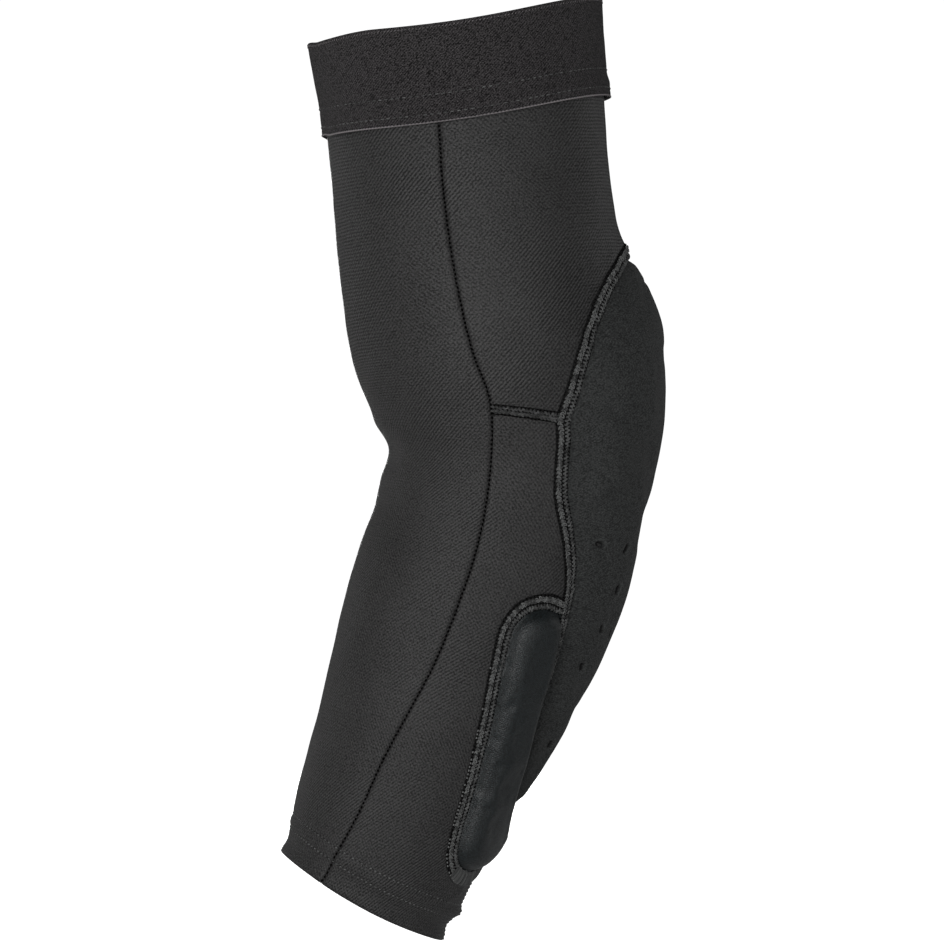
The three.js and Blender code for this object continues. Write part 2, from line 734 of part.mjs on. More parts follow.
const upperSeamKnots = [UPPER_CUT_KNOT, CROSS_KNOT, 5, 4.5, 4, 3.5, 3, 2.6, 2, 1.5, 1, 0.66, 0.33];
addPadSeam(
  'pad_seam_upper',
  [...upperSeamKnots, 0, ...inner(upperSeamKnots).reverse()],
  [[0, 1, CUT_CLEARANCE], [-1, 1, CUT_CLEARANCE]],
);
const bendKnots = [UPPER_CUT_KNOT, 7.5, LOWER_CUT_KNOT];
const bendTrim = [[0, 1, -CUT_CLEARANCE], [-1, -1, CUT_CLEARANCE]];
addPadSeam('pad_seam_elbow_outer', bendKnots, bendTrim);
addPadSeam('pad_seam_elbow_inner', inner(bendKnots), bendTrim);
const lowerSeamKnots = [8, 8.5, 9, 10, 11, 12, 13, 14, 15, 15.6, 16, 16.4, 17, 17.5];
addPadSeam(
  'pad_seam_lower',
  [...lowerSeamKnots, TIP_KNOT, ...inner(lowerSeamKnots).reverse()],
  [[0, -1, -CUT_CLEARANCE], [-1, -1, -CUT_CLEARANCE]],
);

// ---- Side pad: seam, cover, foam and lining --------------------------------------------------------

const borderTop = [0, 0.33, 0.7, 1, 1.5, 1.75, 2];
const borderSide = [2, 2.4, 2.8, 3.2, 4, 5, 6, 7, 8, 8.6, 9];
const borderEnd = [9, 10, 11, 12, 13, 14, 15];
const borderKnots = [...borderTop, ...borderSide.slice(1), ...borderEnd.slice(1)];
addStrip(
  'side_pad_seam',
  COLOURS.thread,
  along(sideBorder, borderKnots, -flatlockSide),
  along(sideBorder, borderKnots, flatlockSide),
  -KNIT,
  FLATLOCK_RISE,
);
const sideAcross = spread(0, 1, 6);
const padBeside = [18.4, TIP_KNOT, 17.5, 17, 16.4, 16, 15, 14, 13, 12, 11.3];
const sidePadTop = along(sideBorder, borderTop, -clothSide);
const sidePadEnd = along(sideBorder, borderEnd, -clothSide).reverse();
const besidePad = along(padOutline, padBeside, clothSide);
besidePad[0] = sidePadEnd[0];
besidePad[besidePad.length - 1] = sidePadTop[0];
addPadStack(
  { cover: 'side_pad_cover', foam: 'side_pad_foam', lining: 'side_pad_lining' },
  COLOURS.sideCover,
  blendBorders(
    {
      low: sidePadEnd,
      high: sidePadTop,
      left: besidePad,
      right: along(sideBorder, [...borderSide].reverse(), -clothSide),
    },
    sideAcross,
    matchingLevels(besidePad, 0, 1),
  ),
  sidePadRise,
  { low: true, high: true },
);

export default group;
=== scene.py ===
"""Looks of a pull-on elbow guard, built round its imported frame.

A place on the sleeve is given by phi, the angle round the arm in degrees (0 at
the back, 90 at the outer side, 180 at the front), by u, the length along the
arm line in millimetres (up from the elbow), and by h, the height in
millimetres above the outer face of the knitted tube.
"""

import logging
import math
from dataclasses import dataclass, field, replace
from enum import Enum
from typing import Callable, Optional, Sequence

import bpy
import numpy as np
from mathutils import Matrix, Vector


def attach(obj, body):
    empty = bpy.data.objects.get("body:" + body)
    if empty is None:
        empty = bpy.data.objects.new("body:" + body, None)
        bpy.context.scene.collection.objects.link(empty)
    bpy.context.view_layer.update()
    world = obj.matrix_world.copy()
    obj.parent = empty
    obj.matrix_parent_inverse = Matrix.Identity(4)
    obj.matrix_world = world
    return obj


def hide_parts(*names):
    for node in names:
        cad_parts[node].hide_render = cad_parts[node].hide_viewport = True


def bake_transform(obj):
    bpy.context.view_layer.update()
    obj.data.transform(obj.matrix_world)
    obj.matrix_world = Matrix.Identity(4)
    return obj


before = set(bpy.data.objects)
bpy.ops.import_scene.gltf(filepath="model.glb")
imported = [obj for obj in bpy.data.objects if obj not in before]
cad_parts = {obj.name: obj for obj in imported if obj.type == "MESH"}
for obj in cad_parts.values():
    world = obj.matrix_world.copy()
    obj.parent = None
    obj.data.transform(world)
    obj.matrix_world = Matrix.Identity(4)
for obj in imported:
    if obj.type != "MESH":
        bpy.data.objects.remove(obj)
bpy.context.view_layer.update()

MM = 0.001
MM_PER_DEGREE = 0.75  # length of one degree of phi on the sleeve's flat plan
UV_SCALE = 0.01  # texture units per millimetre
# Near-black painted into each punched slot: painted shade of the slot's hollow.
SLOT_SHADE = 0.0006  # linear grey of a punched slot
LOG = logging.getLogger("elbow_guard")
Array = np.ndarray
Field = Callable[[Array, Array], Array]


class Motion(Enum):
    """How a piece follows the bending arm."""

    UPPER_ARM = "upper_arm"
    FOREARM = "forearm"
    BENDS = "bends"


class Side(Enum):
    """The two sides of the arm, as the sign of phi."""

    OUTER = 1
    INNER = -1

    @property
    def label(self) -> str:
        """The side's name as the pieces use it."""
        return self.name.lower()


# ---- Numbers ---------------------------------------------------------------


def bell(x: Array, width: float) -> Array:
    """A smooth hump of height 1 round x = 0."""
    return np.exp(-((np.asarray(x) / width) ** 2))


def ramp(x: Array, start: float, end: float) -> Array:
    """Rises smoothly from 0 at start to 1 at end."""
    t = np.clip((np.asarray(x, float) - start) / (end - start), 0, 1)
    return t * t * (3 - 2 * t)


def unit(vectors: Array) -> Array:
    """The vectors scaled to length 1."""
    return vectors / np.maximum(np.linalg.norm(vectors, axis=-1, keepdims=True), 1e-9)


def each(value: Array, count: int) -> Array:
    """One value, or one for each of count things, as a row of count."""
    return np.broadcast_to(np.asarray(value, float), (count,))


def tangents(path: Array, closed: bool = True) -> Array:
    """Unit directions along a path of points."""
    if closed:
        return unit(np.roll(path, -1, 0) - np.roll(path, 1, 0))
    return unit(np.gradient(path, axis=0))


def swells(points: Array, wavelength: float, seed: int, terms: int = 7) -> Array:
    """Smooth seeded unevenness in space, about -1 to 1.

    Args:
        points: places in millimetres, three to a row.
        wavelength: mean distance from swell to swell.
        seed: picks the pattern.
        terms: number of plane waves added up.

    Returns:
        One value for each point.
    """
    random = np.random.default_rng(seed)
    total = np.zeros(len(points))
    for _ in range(terms):
        direction = unit(random.normal(size=3))
        length = wavelength * random.uniform(0.7, 1.5)
        phase = random.uniform(0, 2 * math.pi)
        total += np.sin(points @ direction * 2 * math.pi / length + phase)
    return total / math.sqrt(terms)


def cubic_weights(t: Array) -> Array:
    """Catmull-Rom weights of four neighbours for a fraction t between the middle two."""
    return np.stack([
        -0.5 * t + t**2 - 0.5 * t**3,
        1 - 2.5 * t**2 + 1.5 * t**3,
        0.5 * t + 2 * t**2 - 1.5 * t**3,
        -0.5 * t**2 + 0.5 * t**3,
    ])


# ---- The worn sleeve -------------------------------------------------------


@dataclass
class ArmShape:
    """The outer face of the knitted tube on a slightly bent arm."""

    upper_lean: float = 6.5  # degrees the upper arm leans to the front going up
    forearm_lean: float = 18.0  # degrees the forearm leans to the front going down
    bend_reach: float = 40.0  # the bend starts and ends this far from the elbow
    width_ratio: float = 0.9  # half width over the mean half depth
    stations: Sequence[Sequence[float]] = (  # u, depth to the front, depth to the back
        (-164, 30.2, 29.6), (-150, 30.8, 32.0), (-130, 32.6, 34.8), (-100, 34.2, 37.7),
        (-70, 36.8, 39.9), (-40, 37.9, 41.5), (-20, 37.2, 41.7), (0, 36.2, 43.0),
        (15, 41.2, 44.4), (30, 45.8, 45.5), (50, 48.0, 46.2), (75, 48.7, 46.5),
        (100, 47.8, 46.5), (120, 47.6, 47.5), (154, 49.3, 49.0),
    )
    relief: Optional[Field] = None  # cloth's own unevenness, added to every height

    def depths(self, u: Array) -> Array:
        """Depths to the front and back at u, on a smooth curve through the stations."""
        table = np.array(self.stations, float)
        at, values = table[:, 0], table[:, 1:]
        secants = np.diff(values, axis=0) / np.diff(at)[:, None]
        slopes = np.vstack([secants[:1], (secants[1:] + secants[:-1]) / 2, secants[-1:]])
        i = np.clip(np.searchsorted(at, u) - 1, 0, len(at) - 2)
        step = (at[i + 1] - at[i])[:, None]
        t = ((u - at[i]) / step[:, 0])[:, None]
        return (
            values[i] * (1 + 2 * t) * (1 - t) ** 2
            + values[i + 1] * t**2 * (3 - 2 * t)
            + slopes[i] * step * t * (1 - t) ** 2
            - slopes[i + 1] * step * t**2 * (1 - t)
        )

    def skin(self, phi: Array, u: Array) -> Array:
        """Points of the tube's outer face in millimetres."""
        up, down = math.radians(self.upper_lean), math.radians(self.forearm_lean)
        high = self.bend_reach * np.array([-math.sin(up), math.cos(up)])
        low = self.bend_reach * np.array([-math.sin(down), -math.cos(down)])
        t = np.clip((u + self.bend_reach) / (2 * self.bend_reach), 0, 1)[:, None]
        beyond = (u - np.clip(u, -self.bend_reach, self.bend_reach))[:, None]
        along = unit(low * (t - 1) + high * t)
        line = low * (1 - t) ** 2 + high * t**2 + along * beyond
        front, back = self.depths(u).T
        cosine, sine = np.cos(np.radians(phi)), np.sin(np.radians(phi))
        reach = cosine * np.where(cosine > 0, back, front)
        half_width = self.width_ratio * (front + back) / 2
        return np.stack([
            line[:, 0] + along[:, 1] * reach,
            -sine * half_width,
            line[:, 1] - along[:, 0] * reach,
        ], axis=1)

    def normals(self, phi: Array, u: Array) -> Array:
        """Outward directions of the tube's outer face."""
        up = self.skin(phi, u + 0.5) - self.skin(phi, u - 0.5)
        around = self.skin(phi + 0.5, u) - self.skin(phi - 0.5, u)
        return unit(np.cross(up, around))

    def place(self, phi: Array, u: Array, h: Array = 0.0) -> Array:
        """Points at height h over the worn cloth, in millimetres."""
        phi, u, h = np.broadcast_arrays(*(np.asarray(x, float) for x in (phi, u, h)))
        phi, u, h = phi.ravel(), u.ravel(), h.ravel()
        if self.relief is not None:
            h = h + self.relief(phi, u)
        return self.skin(phi, u) + self.normals(phi, u) * h[:, None]


@dataclass
class SeamLine:
    """A smooth line on the sleeve through places given as (phi, u)."""

    places: Sequence[Sequence[float]]
    closed: bool = False

    @property
    def spans(self) -> int:
        """Number of stretches between the line's places."""
        return len(self.places) - (0 if self.closed else 1)

    def at(self, knots: Array) -> Array:
        """Places at the given knots, on the flat plan in millimetres."""
        knots = np.asarray(knots, float)
        plan = np.array(self.places, float) * (MM_PER_DEGREE, 1)
        if self.closed:
            plan = np.vstack([plan[-1:], plan, plan[:2]])
        else:
            first, last = 2 * plan[0] - plan[1], 2 * plan[-1] - plan[-2]
            plan = np.vstack([first, plan, last])
        i = np.clip(np.floor(knots).astype(int), 0, self.spans - 1)
        t = (knots - i)[:, None]
        p = [plan[i + k] for k in range(4)]
        gaps = [np.sqrt(np.linalg.norm(p[k + 1] - p[k], axis=1))[:, None] for k in range(3)]

        def slope(a: int) -> Array:
            """The line's direction at the place that neighbours a and a + 2."""
            before, after = gaps[a], gaps[a + 1]
            chord = (p[a + 2] - p[a]) / (before + after)
            return ((p[a + 1] - p[a]) / before - chord + (p[a + 2] - p[a + 1]) / after) * gaps[1]

        m0, m1 = slope(0), slope(1)
        return (
            p[1] * (1 + 2 * t) * (1 - t) ** 2 + p[2] * t**2 * (3 - 2 * t)
            + m0 * t * (1 - t) ** 2 - m1 * t**2 * (1 - t)
        )

    def plan(self, step: float = 0.05) -> Array:
        """A dense polyline of the line on the flat plan."""
        return self.at(np.arange(0, self.spans + (0 if self.closed else 1e-6), step))

    def even(self, shape: ArmShape, spacing: float) -> tuple[Array, Array]:
        """Places spaced evenly along the worn line.

        Args:
            shape: the worn sleeve.
            spacing: distance wanted between places, in millimetres.

        Returns:
            phi and u of each place.
        """
        plan = self.plan(0.02)
        if self.closed:
            plan = np.vstack([plan, plan[:1]])
        phi, u = plan[:, 0] / MM_PER_DEGREE, plan[:, 1]
        steps = np.linalg.norm(np.diff(shape.skin(phi, u), axis=0), axis=1)
        length = np.concatenate([[0], np.cumsum(steps)])
        count = max(int(round(length[-1] / spacing)), 2)
        wanted = np.linspace(0, length[-1], count + 1)
        if self.closed:
            wanted = wanted[:-1]
        return np.interp(wanted, length, phi), np.interp(wanted, length, u)


def distance_to(line: Array, x: Array, y: Array) -> Array:
    """Distance on the flat plan from each place to a polyline."""
    start, end = line[:-1], line[1:]
    run = end - start
    square = np.maximum((run**2).sum(1), 1e-12)
    nearest = np.full(len(x), 1e9)
    for a, r, s in zip(start, run, square):
        t = np.clip(((x - a[0]) * r[0] + (y - a[1]) * r[1]) / s, 0, 1)
        gap = np.hypot(x - a[0] - t * r[0], y - a[1] - t * r[1])
        nearest = np.minimum(nearest, gap)
    return nearest


def inside(ring: Array, x: Array, y: Array) -> Array:
    """True for the places on the flat plan that a closed polyline holds."""
    held = np.zeros(len(x), bool)
    for (ax, ay), (bx, by) in zip(ring, np.roll(ring, -1, axis=0)):
        crosses = (ay > y) != (by > y)
        at = ax + (y - ay) / (by - ay if by != ay else 1e-9) * (bx - ax)
        held ^= crosses & (x < at)
    return held


@dataclass
class Outline:
    """A closed region of the flat plan, with a quick table of its depth."""

    ring: Array
    pitch: float = 0.5
    table: Array = field(init=False)
    origin: Array = field(init=False)

    def __post_init__(self) -> None:
        """Works out the signed depth on a lattice round the region."""
        margin = 30
        low, high = self.ring.min(0) - margin, self.ring.max(0) + margin
        across = np.arange(low[0], high[0], self.pitch)
        up = np.arange(low[1], high[1], self.pitch)
        x, y = (g.ravel() for g in np.meshgrid(across, up))
        closed = np.vstack([self.ring, self.ring[:1]])
        depth = distance_to(closed, x, y) * np.where(inside(self.ring, x, y), 1, -1)
        self.table = depth.reshape(len(up), len(across))
        self.origin = low

    def depth(self, phi: Array, u: Array) -> Array:
        """Millimetres inside the outline, negative outside it."""
        rows, columns = self.table.shape
        c = np.clip((phi * MM_PER_DEGREE - self.origin[0]) / self.pitch, 0, columns - 1.001)
        r = np.clip((u - self.origin[1]) / self.pitch, 0, rows - 1.001)
        i, j = r.astype(int), c.astype(int)
        v, w = r - i, c - j
        t = self.table
        low = t[i, j] * (1 - w) + t[i, j + 1] * w
        high = t[i + 1, j] * (1 - w) + t[i + 1, j + 1] * w
        return low * (1 - v) + high * v


# ---- Pattern of the guard --------------------------------------------------


@dataclass
class Pattern:
    """Where the guard's seams and edges run."""

    front_seam: Sequence[Sequence[float]] = (  # u, phi
        (-162, 121), (-151, 118.5), (-128, 109), (-107, 104), (-89, 98), (-70, 92.5),
        (-40, 90), (0, 91), (20, 92.5), (36, 98), (57, 101), (90, 102.5), (128, 100.5),
    )
    pad_half: Sequence[Sequence[float]] = (  # phi, u down the outer side
        (0, 65.4), (20, 59), (31, 52), (40, 43.5), (48, 33), (53, 23.5), (57.5, 14.6),
        (57, 9), (54.5, -7.5), (45, -20), (37.5, -30), (33, -40), (29, -52), (25.6, -64),
        (22.3, -78), (17.2, -91), (12, -102.5), (6.8, -110.3), (0, -114),
    )
    side_border: Sequence[Sequence[float]] = (
        (37, -39.6), (48, -39.2), (59.5, -42.6), (66, -50.5), (64.5, -66), (60.5, -82),
        (56.8, -97), (54, -111), (52.3, -122), (48.5, -131.5), (40, -137), (28, -138.8),
        (13, -137.2), (0, -133), (-7, -126), (-9, -118.5),
    )
    cross_ends: Sequence[float] = (17.6, 14.6)  # u at the front seam and at the pad
    pad_edge: float = 57.5  # phi of the pad's edge at the cross seams
    cross_stop: float = 61.5  # phi at which a cross seam meets the pad's seam
    seam_foot: float = 119.5  # phi of the front seam at the hem
    hem_mean: float = -155.0
    hem_tilt: float = 6.0
    hem_sag: float = 1.7
    sleeve_top: float = 128.0
    pad: Outline = field(init=False)
    side_pad: Outline = field(init=False)

    def __post_init__(self) -> None:
        """Closes the two pads' outlines."""
        half = list(self.pad_half)
        other = [(-phi, u) for phi, u in reversed(half[1:-1])]
        self.pad_line = SeamLine(half + other, closed=True)
        self.border_line = SeamLine(self.side_border)
        self.pad = Outline(self.pad_line.plan(0.1))
        back = [(0, -100), (12, -80), (20, -60), (24, -48)]
        closing = np.array(back, float) * (MM_PER_DEGREE, 1)
        self.side_pad = Outline(np.vstack([self.border_line.plan(0.1), closing]))

    def front_angle(self, u: Array) -> Array:
        """phi of the outer front seam at u."""
        table = np.array(self.front_seam, float)
        line = SeamLine([(phi, at) for at, phi in table]).plan(0.02)
        return np.interp(u, line[:, 1], line[:, 0] / MM_PER_DEGREE)

    def cross(self, phi: Array) -> Array:
        """u of the cross seams at phi."""
        front = self.front_angle(np.array([self.cross_ends[0]]))[0]
        share = (np.abs(phi) - self.pad_edge) / (front - self.pad_edge)
        return self.cross_ends[1] + share * (self.cross_ends[0] - self.cross_ends[1])

    def hem(self, phi: Array) -> Array:
        """u of the sleeve's lower edge at phi."""
        turn = np.radians(phi)
        sag = self.hem_sag * np.abs(np.sin(turn)) ** 3
        return self.hem_mean - self.hem_tilt * np.cos(turn) - sag

    def beside_pads(self, phi: Array, u: Array) -> Array:
        """Millimetres clear of both pads' outlines."""
        return -np.maximum(self.pad.depth(phi, u), self.side_pad.depth(phi, u))

    def front_seam_line(self, side: Side) -> SeamLine:
        """The front seam on one side, from the hem to the cuff."""
        foot = self.hem(np.array([self.seam_foot]))[0] + 0.9
        rises = np.concatenate([[foot], np.arange(-151, 129, 6)])
        places = zip(self.front_angle(rises) * side.value, rises)
        return SeamLine([tuple(p) for p in places])

    def cross_line(self, side: Side) -> SeamLine:
        """The cross seam on one side, from the front seam to the pad seam."""
        front = self.front_angle(np.array([self.cross_ends[0]]))[0] - 0.6
        angles = np.linspace(front, self.cross_stop, 5)
        return SeamLine([(a * side.value, float(self.cross(a))) for a in angles])


@dataclass
class Crease:
    """A short fold in the cloth, from one place to another."""

    start: Sequence[float]
    end: Sequence[float]
    height: float
    width: float

    def rise(self, phi: Array, u: Array) -> Array:
        """Height of the fold over each place."""
        a = np.array(self.start) * (MM_PER_DEGREE, 1)
        b = np.array(self.end) * (MM_PER_DEGREE, 1)
        run = b - a
        length = np.hypot(*run)
        dx, dy = phi * MM_PER_DEGREE - a[0], u - a[1]
        along = (dx * run[0] + dy * run[1]) / length**2
        across = (dx * run[1] - dy * run[0]) / length
        fade = ramp(along, -0.15, 0.25) * (1 - ramp(along, 0.6, 1.15))
        return self.height * bell(across, self.width) * fade


@dataclass
class ClothRelief:
    """Unevenness of the worn cloth: swells, puckers at the seams, folds."""

    shape: ArmShape
    pattern: Pattern
    swell: float = 0.22
    pucker: float = 0.13
    tent_height: float = 2.9
    creases: Sequence[Crease] = (
        Crease((20, -142), (44, -149), 0.8, 1.6),
        Crease((30, -140.5), (60, -147), -0.5, 2.2),
        Crease((150, 2), (212, -1), -0.8, 5.0),
        Crease((146, 13), (208, 10), 0.5, 4.0),
        Crease((150, -10), (214, -13), 0.45, 4.0),
        Crease((138, -22), (186, -25), -0.35, 4.5),
        Crease((60, 10), (88, -12), 0.22, 5.0),
        Crease((70, 24), (96, 48), 0.16, 6.0),
    )

    def __call__(self, phi: Array, u: Array) -> Array:
        """Height added to the cloth at each place."""
        points = self.shape.skin(phi, u)
        rise = self.swell * swells(points, 38, 11) + 0.4 * self.swell * swells(points, 15, 12)
        wrapped = (phi + 180) % 360 - 180
        near = self.pattern.beside_pads(wrapped, u)
        rise += self.pucker * bell(near - 3.0, 4.5) * swells(points, 6.5, 13)
        for crease in self.creases:
            rise += crease.rise(phi % 360 if crease.start[0] > 120 else wrapped, u)
        return (rise + self.hem_rise(wrapped, u) + self.front_groove(wrapped, u)
                + self.tent(wrapped, u))

    def tent(self, phi: Array, u: Array) -> Array:
        """The sleeve lifted off the arm along the top edge of the elbow pad."""
        depth = self.pattern.pad.depth(phi, u)
        return self.tent_height * bell(depth, 8.0) * bell(phi * MM_PER_DEGREE, 19) * ramp(u, 25, 50)

    def hem_rise(self, phi: Array, u: Array) -> Array:
        """Puffs and pinches of the folded, twice-stitched hem."""
        above = u - self.pattern.hem(phi)
        back = 0.5 + 0.5 * np.cos(np.radians(phi))
        puff = 1.1 * bell(above - 10.6, 2.0) - 1.2 * bell(above - 5.0, 3.0)
        rows = bell(above - 8.6, 0.7) + bell(above - 13.4, 0.7)
        return ((0.25 + 0.75 * back**2) * puff - 0.3 * rows
                + (0.3 + 0.9 * (1 - back) ** 3) * bell(above, 3.0))

    def front_groove(self, phi: Array, u: Array) -> Array:
        """The fine valley of the front seams and the flat ridge in front of them."""
        off = (np.abs(phi) - self.pattern.front_angle(u)) * MM_PER_DEGREE
        return -0.34 * bell(off, 0.7) + 0.1 * bell(off - 2.0, 1.1)


# ---- Mesh building ---------------------------------------------------------


def grid_faces(rows: int, columns: int, closed: bool = False) -> Array:
    """Quads of a lattice, facing out when columns run with phi and rows with u."""
    last = columns if closed else columns - 1
    r, c = np.meshgrid(np.arange(rows - 1), np.arange(last), indexing="ij")
    a = r * columns + c
    b = r * columns + (c + 1) % columns
    return np.stack([a, a + columns, b + columns, b], -1).reshape(-1, 4)


@dataclass
class Sheet:
    """A patch of cloth laid out on the sleeve: places and the quads between them."""

    phi: Array
    u: Array
    faces: Array

    @classmethod
    def lattice(cls, phi: Array, u: Array) -> "Sheet":
        """A patch from two arrays of the same rows and columns."""
        return cls(phi.ravel().astype(float), u.ravel().astype(float), grid_faces(*phi.shape))

    def borders(self) -> Array:
        """The directed edges that only one face uses."""
        edges = np.concatenate([self.faces[:, [k, (k + 1) % 4]] for k in range(4)])
        codes = np.sort(edges, axis=1) @ np.array([len(self.phi), 1])
        _, first, counts = np.unique(codes, return_index=True, return_counts=True)
        return edges[first[counts == 1]]

    def trimmed(self, clearance: Field, pitch: float) -> "Sheet":
        """Cuts the patch to where clearance is positive, with clean edges.

        Args:
            clearance: distance inside the wanted cut, in millimetres on the plan.
            pitch: spacing of the patch's places.

        Returns:
            The cut patch, its edge places moved on to the cut.
        """
        room = clearance(self.phi, self.u)
        centre = room[self.faces].mean(1)
        faces = self.faces[(centre > 0) & (room[self.faces].min(1) > -0.75 * pitch)]
        used = np.unique(faces)
        index = np.full(len(self.phi), -1)
        index[used] = np.arange(len(used))
        cut = Sheet(self.phi[used].copy(), self.u[used].copy(), index[faces])
        edge = np.unique(cut.borders())
        room = clearance(cut.phi[edge], cut.u[edge])
        edge = edge[np.abs(room) < 1.3 * pitch]
        for _ in range(4):
            phi, u = cut.phi[edge], cut.u[edge]
            room = clearance(phi, u)
            step = 0.2
            across = clearance(phi + step / MM_PER_DEGREE, u) - clearance(
                phi - step / MM_PER_DEGREE, u)
            up = clearance(phi, u + step) - clearance(phi, u - step)
            gradient = np.stack([across, up], 1) / (2 * step)
            move = room / np.maximum((gradient**2).sum(1), 0.25)
            move = np.clip(move, -pitch, pitch)
            cut.phi[edge] -= move * gradient[:, 0] / MM_PER_DEGREE
            cut.u[edge] -= move * gradient[:, 1]
        return cut


def linked(name: str, data: Optional[bpy.types.ID]) -> bpy.types.Object:
    """A new object in the scene."""
    made = bpy.data.objects.new(name, data)
    bpy.context.scene.collection.objects.link(made)
    return made


class Mesher:
    """Collects vertices and faces in millimetres and makes one object of them."""

    def __init__(self) -> None:
        """Starts empty."""
        self.points: list[Array] = []
        self.uvs: list[Array] = []
        self.tints: list[Array] = []
        self.faces: list[list[int]] = []
        self.count = 0

    def add(self, points: Array, faces: Array, uv: Array, tint: Array = 0.5) -> None:
        """Adds one stretch of mesh.

        Args:
            points: vertices.
            faces: rows of vertex numbers.
            uv: plan position of each vertex, in millimetres.
            tint: shade of each vertex, 0 to 1, or one value for all.
        """
        self.points.append(points)
        self.uvs.append(np.broadcast_to(uv, (len(points), 2)))
        self.tints.append(each(tint, len(points)))
        self.faces.extend((np.asarray(faces) + self.count).tolist())
        self.count += len(points)

    def shell(self, shape: ArmShape, sheet: Sheet, high: Array, low: Array,
              shift: Optional[Array] = None, tint: Array = 0.5, nose: float = 0.42) -> None:
        """Adds cloth with an outer and an inner face and rounded edges.

        Args:
            shape: the worn sleeve.
            sheet: the patch.
            high: height of the outer face at each place.
            low: height of the inner face.
            shift: extra movement of each place, in millimetres.
            tint: shade of each place.
            nose: how far the rounded edges stick out, over the thickness.
        """
        count = len(sheet.phi)
        outer = shape.place(sheet.phi, sheet.u, high)
        inner = shape.place(sheet.phi, sheet.u, low)
        if shift is not None:
            outer, inner = outer + shift, inner + shift
        edges = sheet.borders()
        rim = np.unique(edges)
        order = np.full(count, -1)
        order[rim] = np.arange(len(rim))
        middle = (outer + inner) / 2
        centre = np.zeros((count, 3))
        uses = np.zeros(count)
        for k in range(4):
            np.add.at(centre, sheet.faces[:, k], middle[sheet.faces].mean(1))
            np.add.at(uses, sheet.faces[:, k], 1)
        away = unit(middle[rim] - centre[rim] / np.maximum(uses[rim], 1)[:, None])
        thick = np.linalg.norm(outer[rim] - inner[rim], axis=1, keepdims=True)
        tip = middle[rim] + away * np.minimum(thick, 1.6) * nose
        i, j = edges[:, 0], edges[:, 1]
        ni, nj = 2 * count + order[i], 2 * count + order[j]
        faces = np.concatenate([
            sheet.faces,
            sheet.faces[:, ::-1] + count,
            np.stack([j, i, ni, nj], 1),
            np.stack([nj, ni, i + count, j + count], 1),
        ])
        plan = np.stack([sheet.phi * MM_PER_DEGREE, sheet.u], 1)
        shade = each(tint, count)
        self.add(np.concatenate([outer, inner, tip]), faces,
                 np.concatenate([plan, plan, plan[rim]]),
                 np.concatenate([shade, shade, shade[rim]]))

    def tube(self, path: Array, normal: Array, radius: Array, sides: int = 6,
             closed: bool = False, flatten: float = 1.0, tint: Array = 0.5) -> None:
        """Adds a round or flattened thread along a path.

        Args:
            path: centre line.
            normal: outward direction of the cloth at each point.
            radius: half thickness at each point, or one value.
            sides: corners of the thread's section.
            closed: joins the last point to the first.
            flatten: height of the section over its width.
            tint: shade at each point.
        """
        count = len(path)
        along = tangents(path, closed)
        across = unit(np.cross(along, normal))
        up = np.cross(across, along)
        angles = np.arange(sides) * 2 * math.pi / sides
        size = each(radius, count)[:, None, None]
        section = (across[:, None] * np.cos(angles)[None, :, None]
                   + up[:, None] * np.sin(angles)[None, :, None] * flatten)
        points = (path[:, None] + section * size).reshape(-1, 3)
        rings = count + (1 if closed else 0)
        faces = grid_faces(rings, sides, closed=True)[:, ::-1] % (count * sides)
        steps = np.linalg.norm(np.diff(path, axis=0), axis=1)
        run = np.concatenate([[0], np.cumsum(steps)])
        uv = np.stack(np.broadcast_arrays(run[:, None], angles[None, :]), -1).reshape(-1, 2)
        shade = np.repeat(each(tint, count), sides)
        self.add(points, faces, uv, shade)
        if not closed:
            first, last = np.arange(sides), (count - 1) * sides + np.arange(sides)
            start = self.count - count * sides
            self.faces.append((first + start).tolist())
            self.faces.append((last[::-1] + start).tolist())

    def grains(self, centre: Array, along: Array, normal: Array, length: float,
               width: float, height: float, tint: Array) -> None:
        """Adds a row of separate stitches, each a rounded grain of thread.

        Args:
            centre: middle of each stitch.
            along: direction of each stitch.
            normal: outward direction of the cloth.
            length: length of a stitch.
            width: its width.
            height: its height.
            tint: shade of each stitch.
        """
        across = unit(np.cross(along, normal))
        up = np.cross(across, along)
        rings = ((-0.86, 0.5), (-0.5, 0.93), (0.0, 1.0), (0.5, 0.93), (0.86, 0.5))
        sides = 6
        angles = np.arange(sides) * 2 * math.pi / sides
        local = [(-1.0, 0.0, 0.0)]
        for at, size in rings:
            local += [(at, size * math.cos(a), size * math.sin(a)) for a in angles]
        local.append((1.0, 0.0, 0.0))
        half = np.array(local) * (length / 2, width / 2, height / 2)
        basis = np.stack([along, across, up], 1)
        points = centre[:, None] + np.einsum("kj,njc->nkc", half, basis)
        tip = len(local) - 1
        quads = [
            (1 + r * sides + k, 1 + r * sides + (k + 1) % sides,
             1 + (r + 1) * sides + (k + 1) % sides, 1 + (r + 1) * sides + k)
            for r in range(len(rings) - 1) for k in range(sides)
        ]
        last = 1 + (len(rings) - 1) * sides
        caps = [(0, 1 + (k + 1) % sides, 1 + k) for k in range(sides)]
        caps += [(tip, last + k, last + (k + 1) % sides) for k in range(sides)]
        starts = (np.arange(len(centre)) * len(local))[:, None, None]
        uv = np.tile(half[:, [0, 1]] * (1, 4), (len(centre), 1))
        shade = np.repeat(each(tint, len(centre)), len(local))
        base = self.count
        self.add(points.reshape(-1, 3), (np.array(quads) + starts).reshape(-1, 4), uv, shade)
        self.faces.extend((np.array(caps) + starts + base).reshape(-1, 3).tolist())

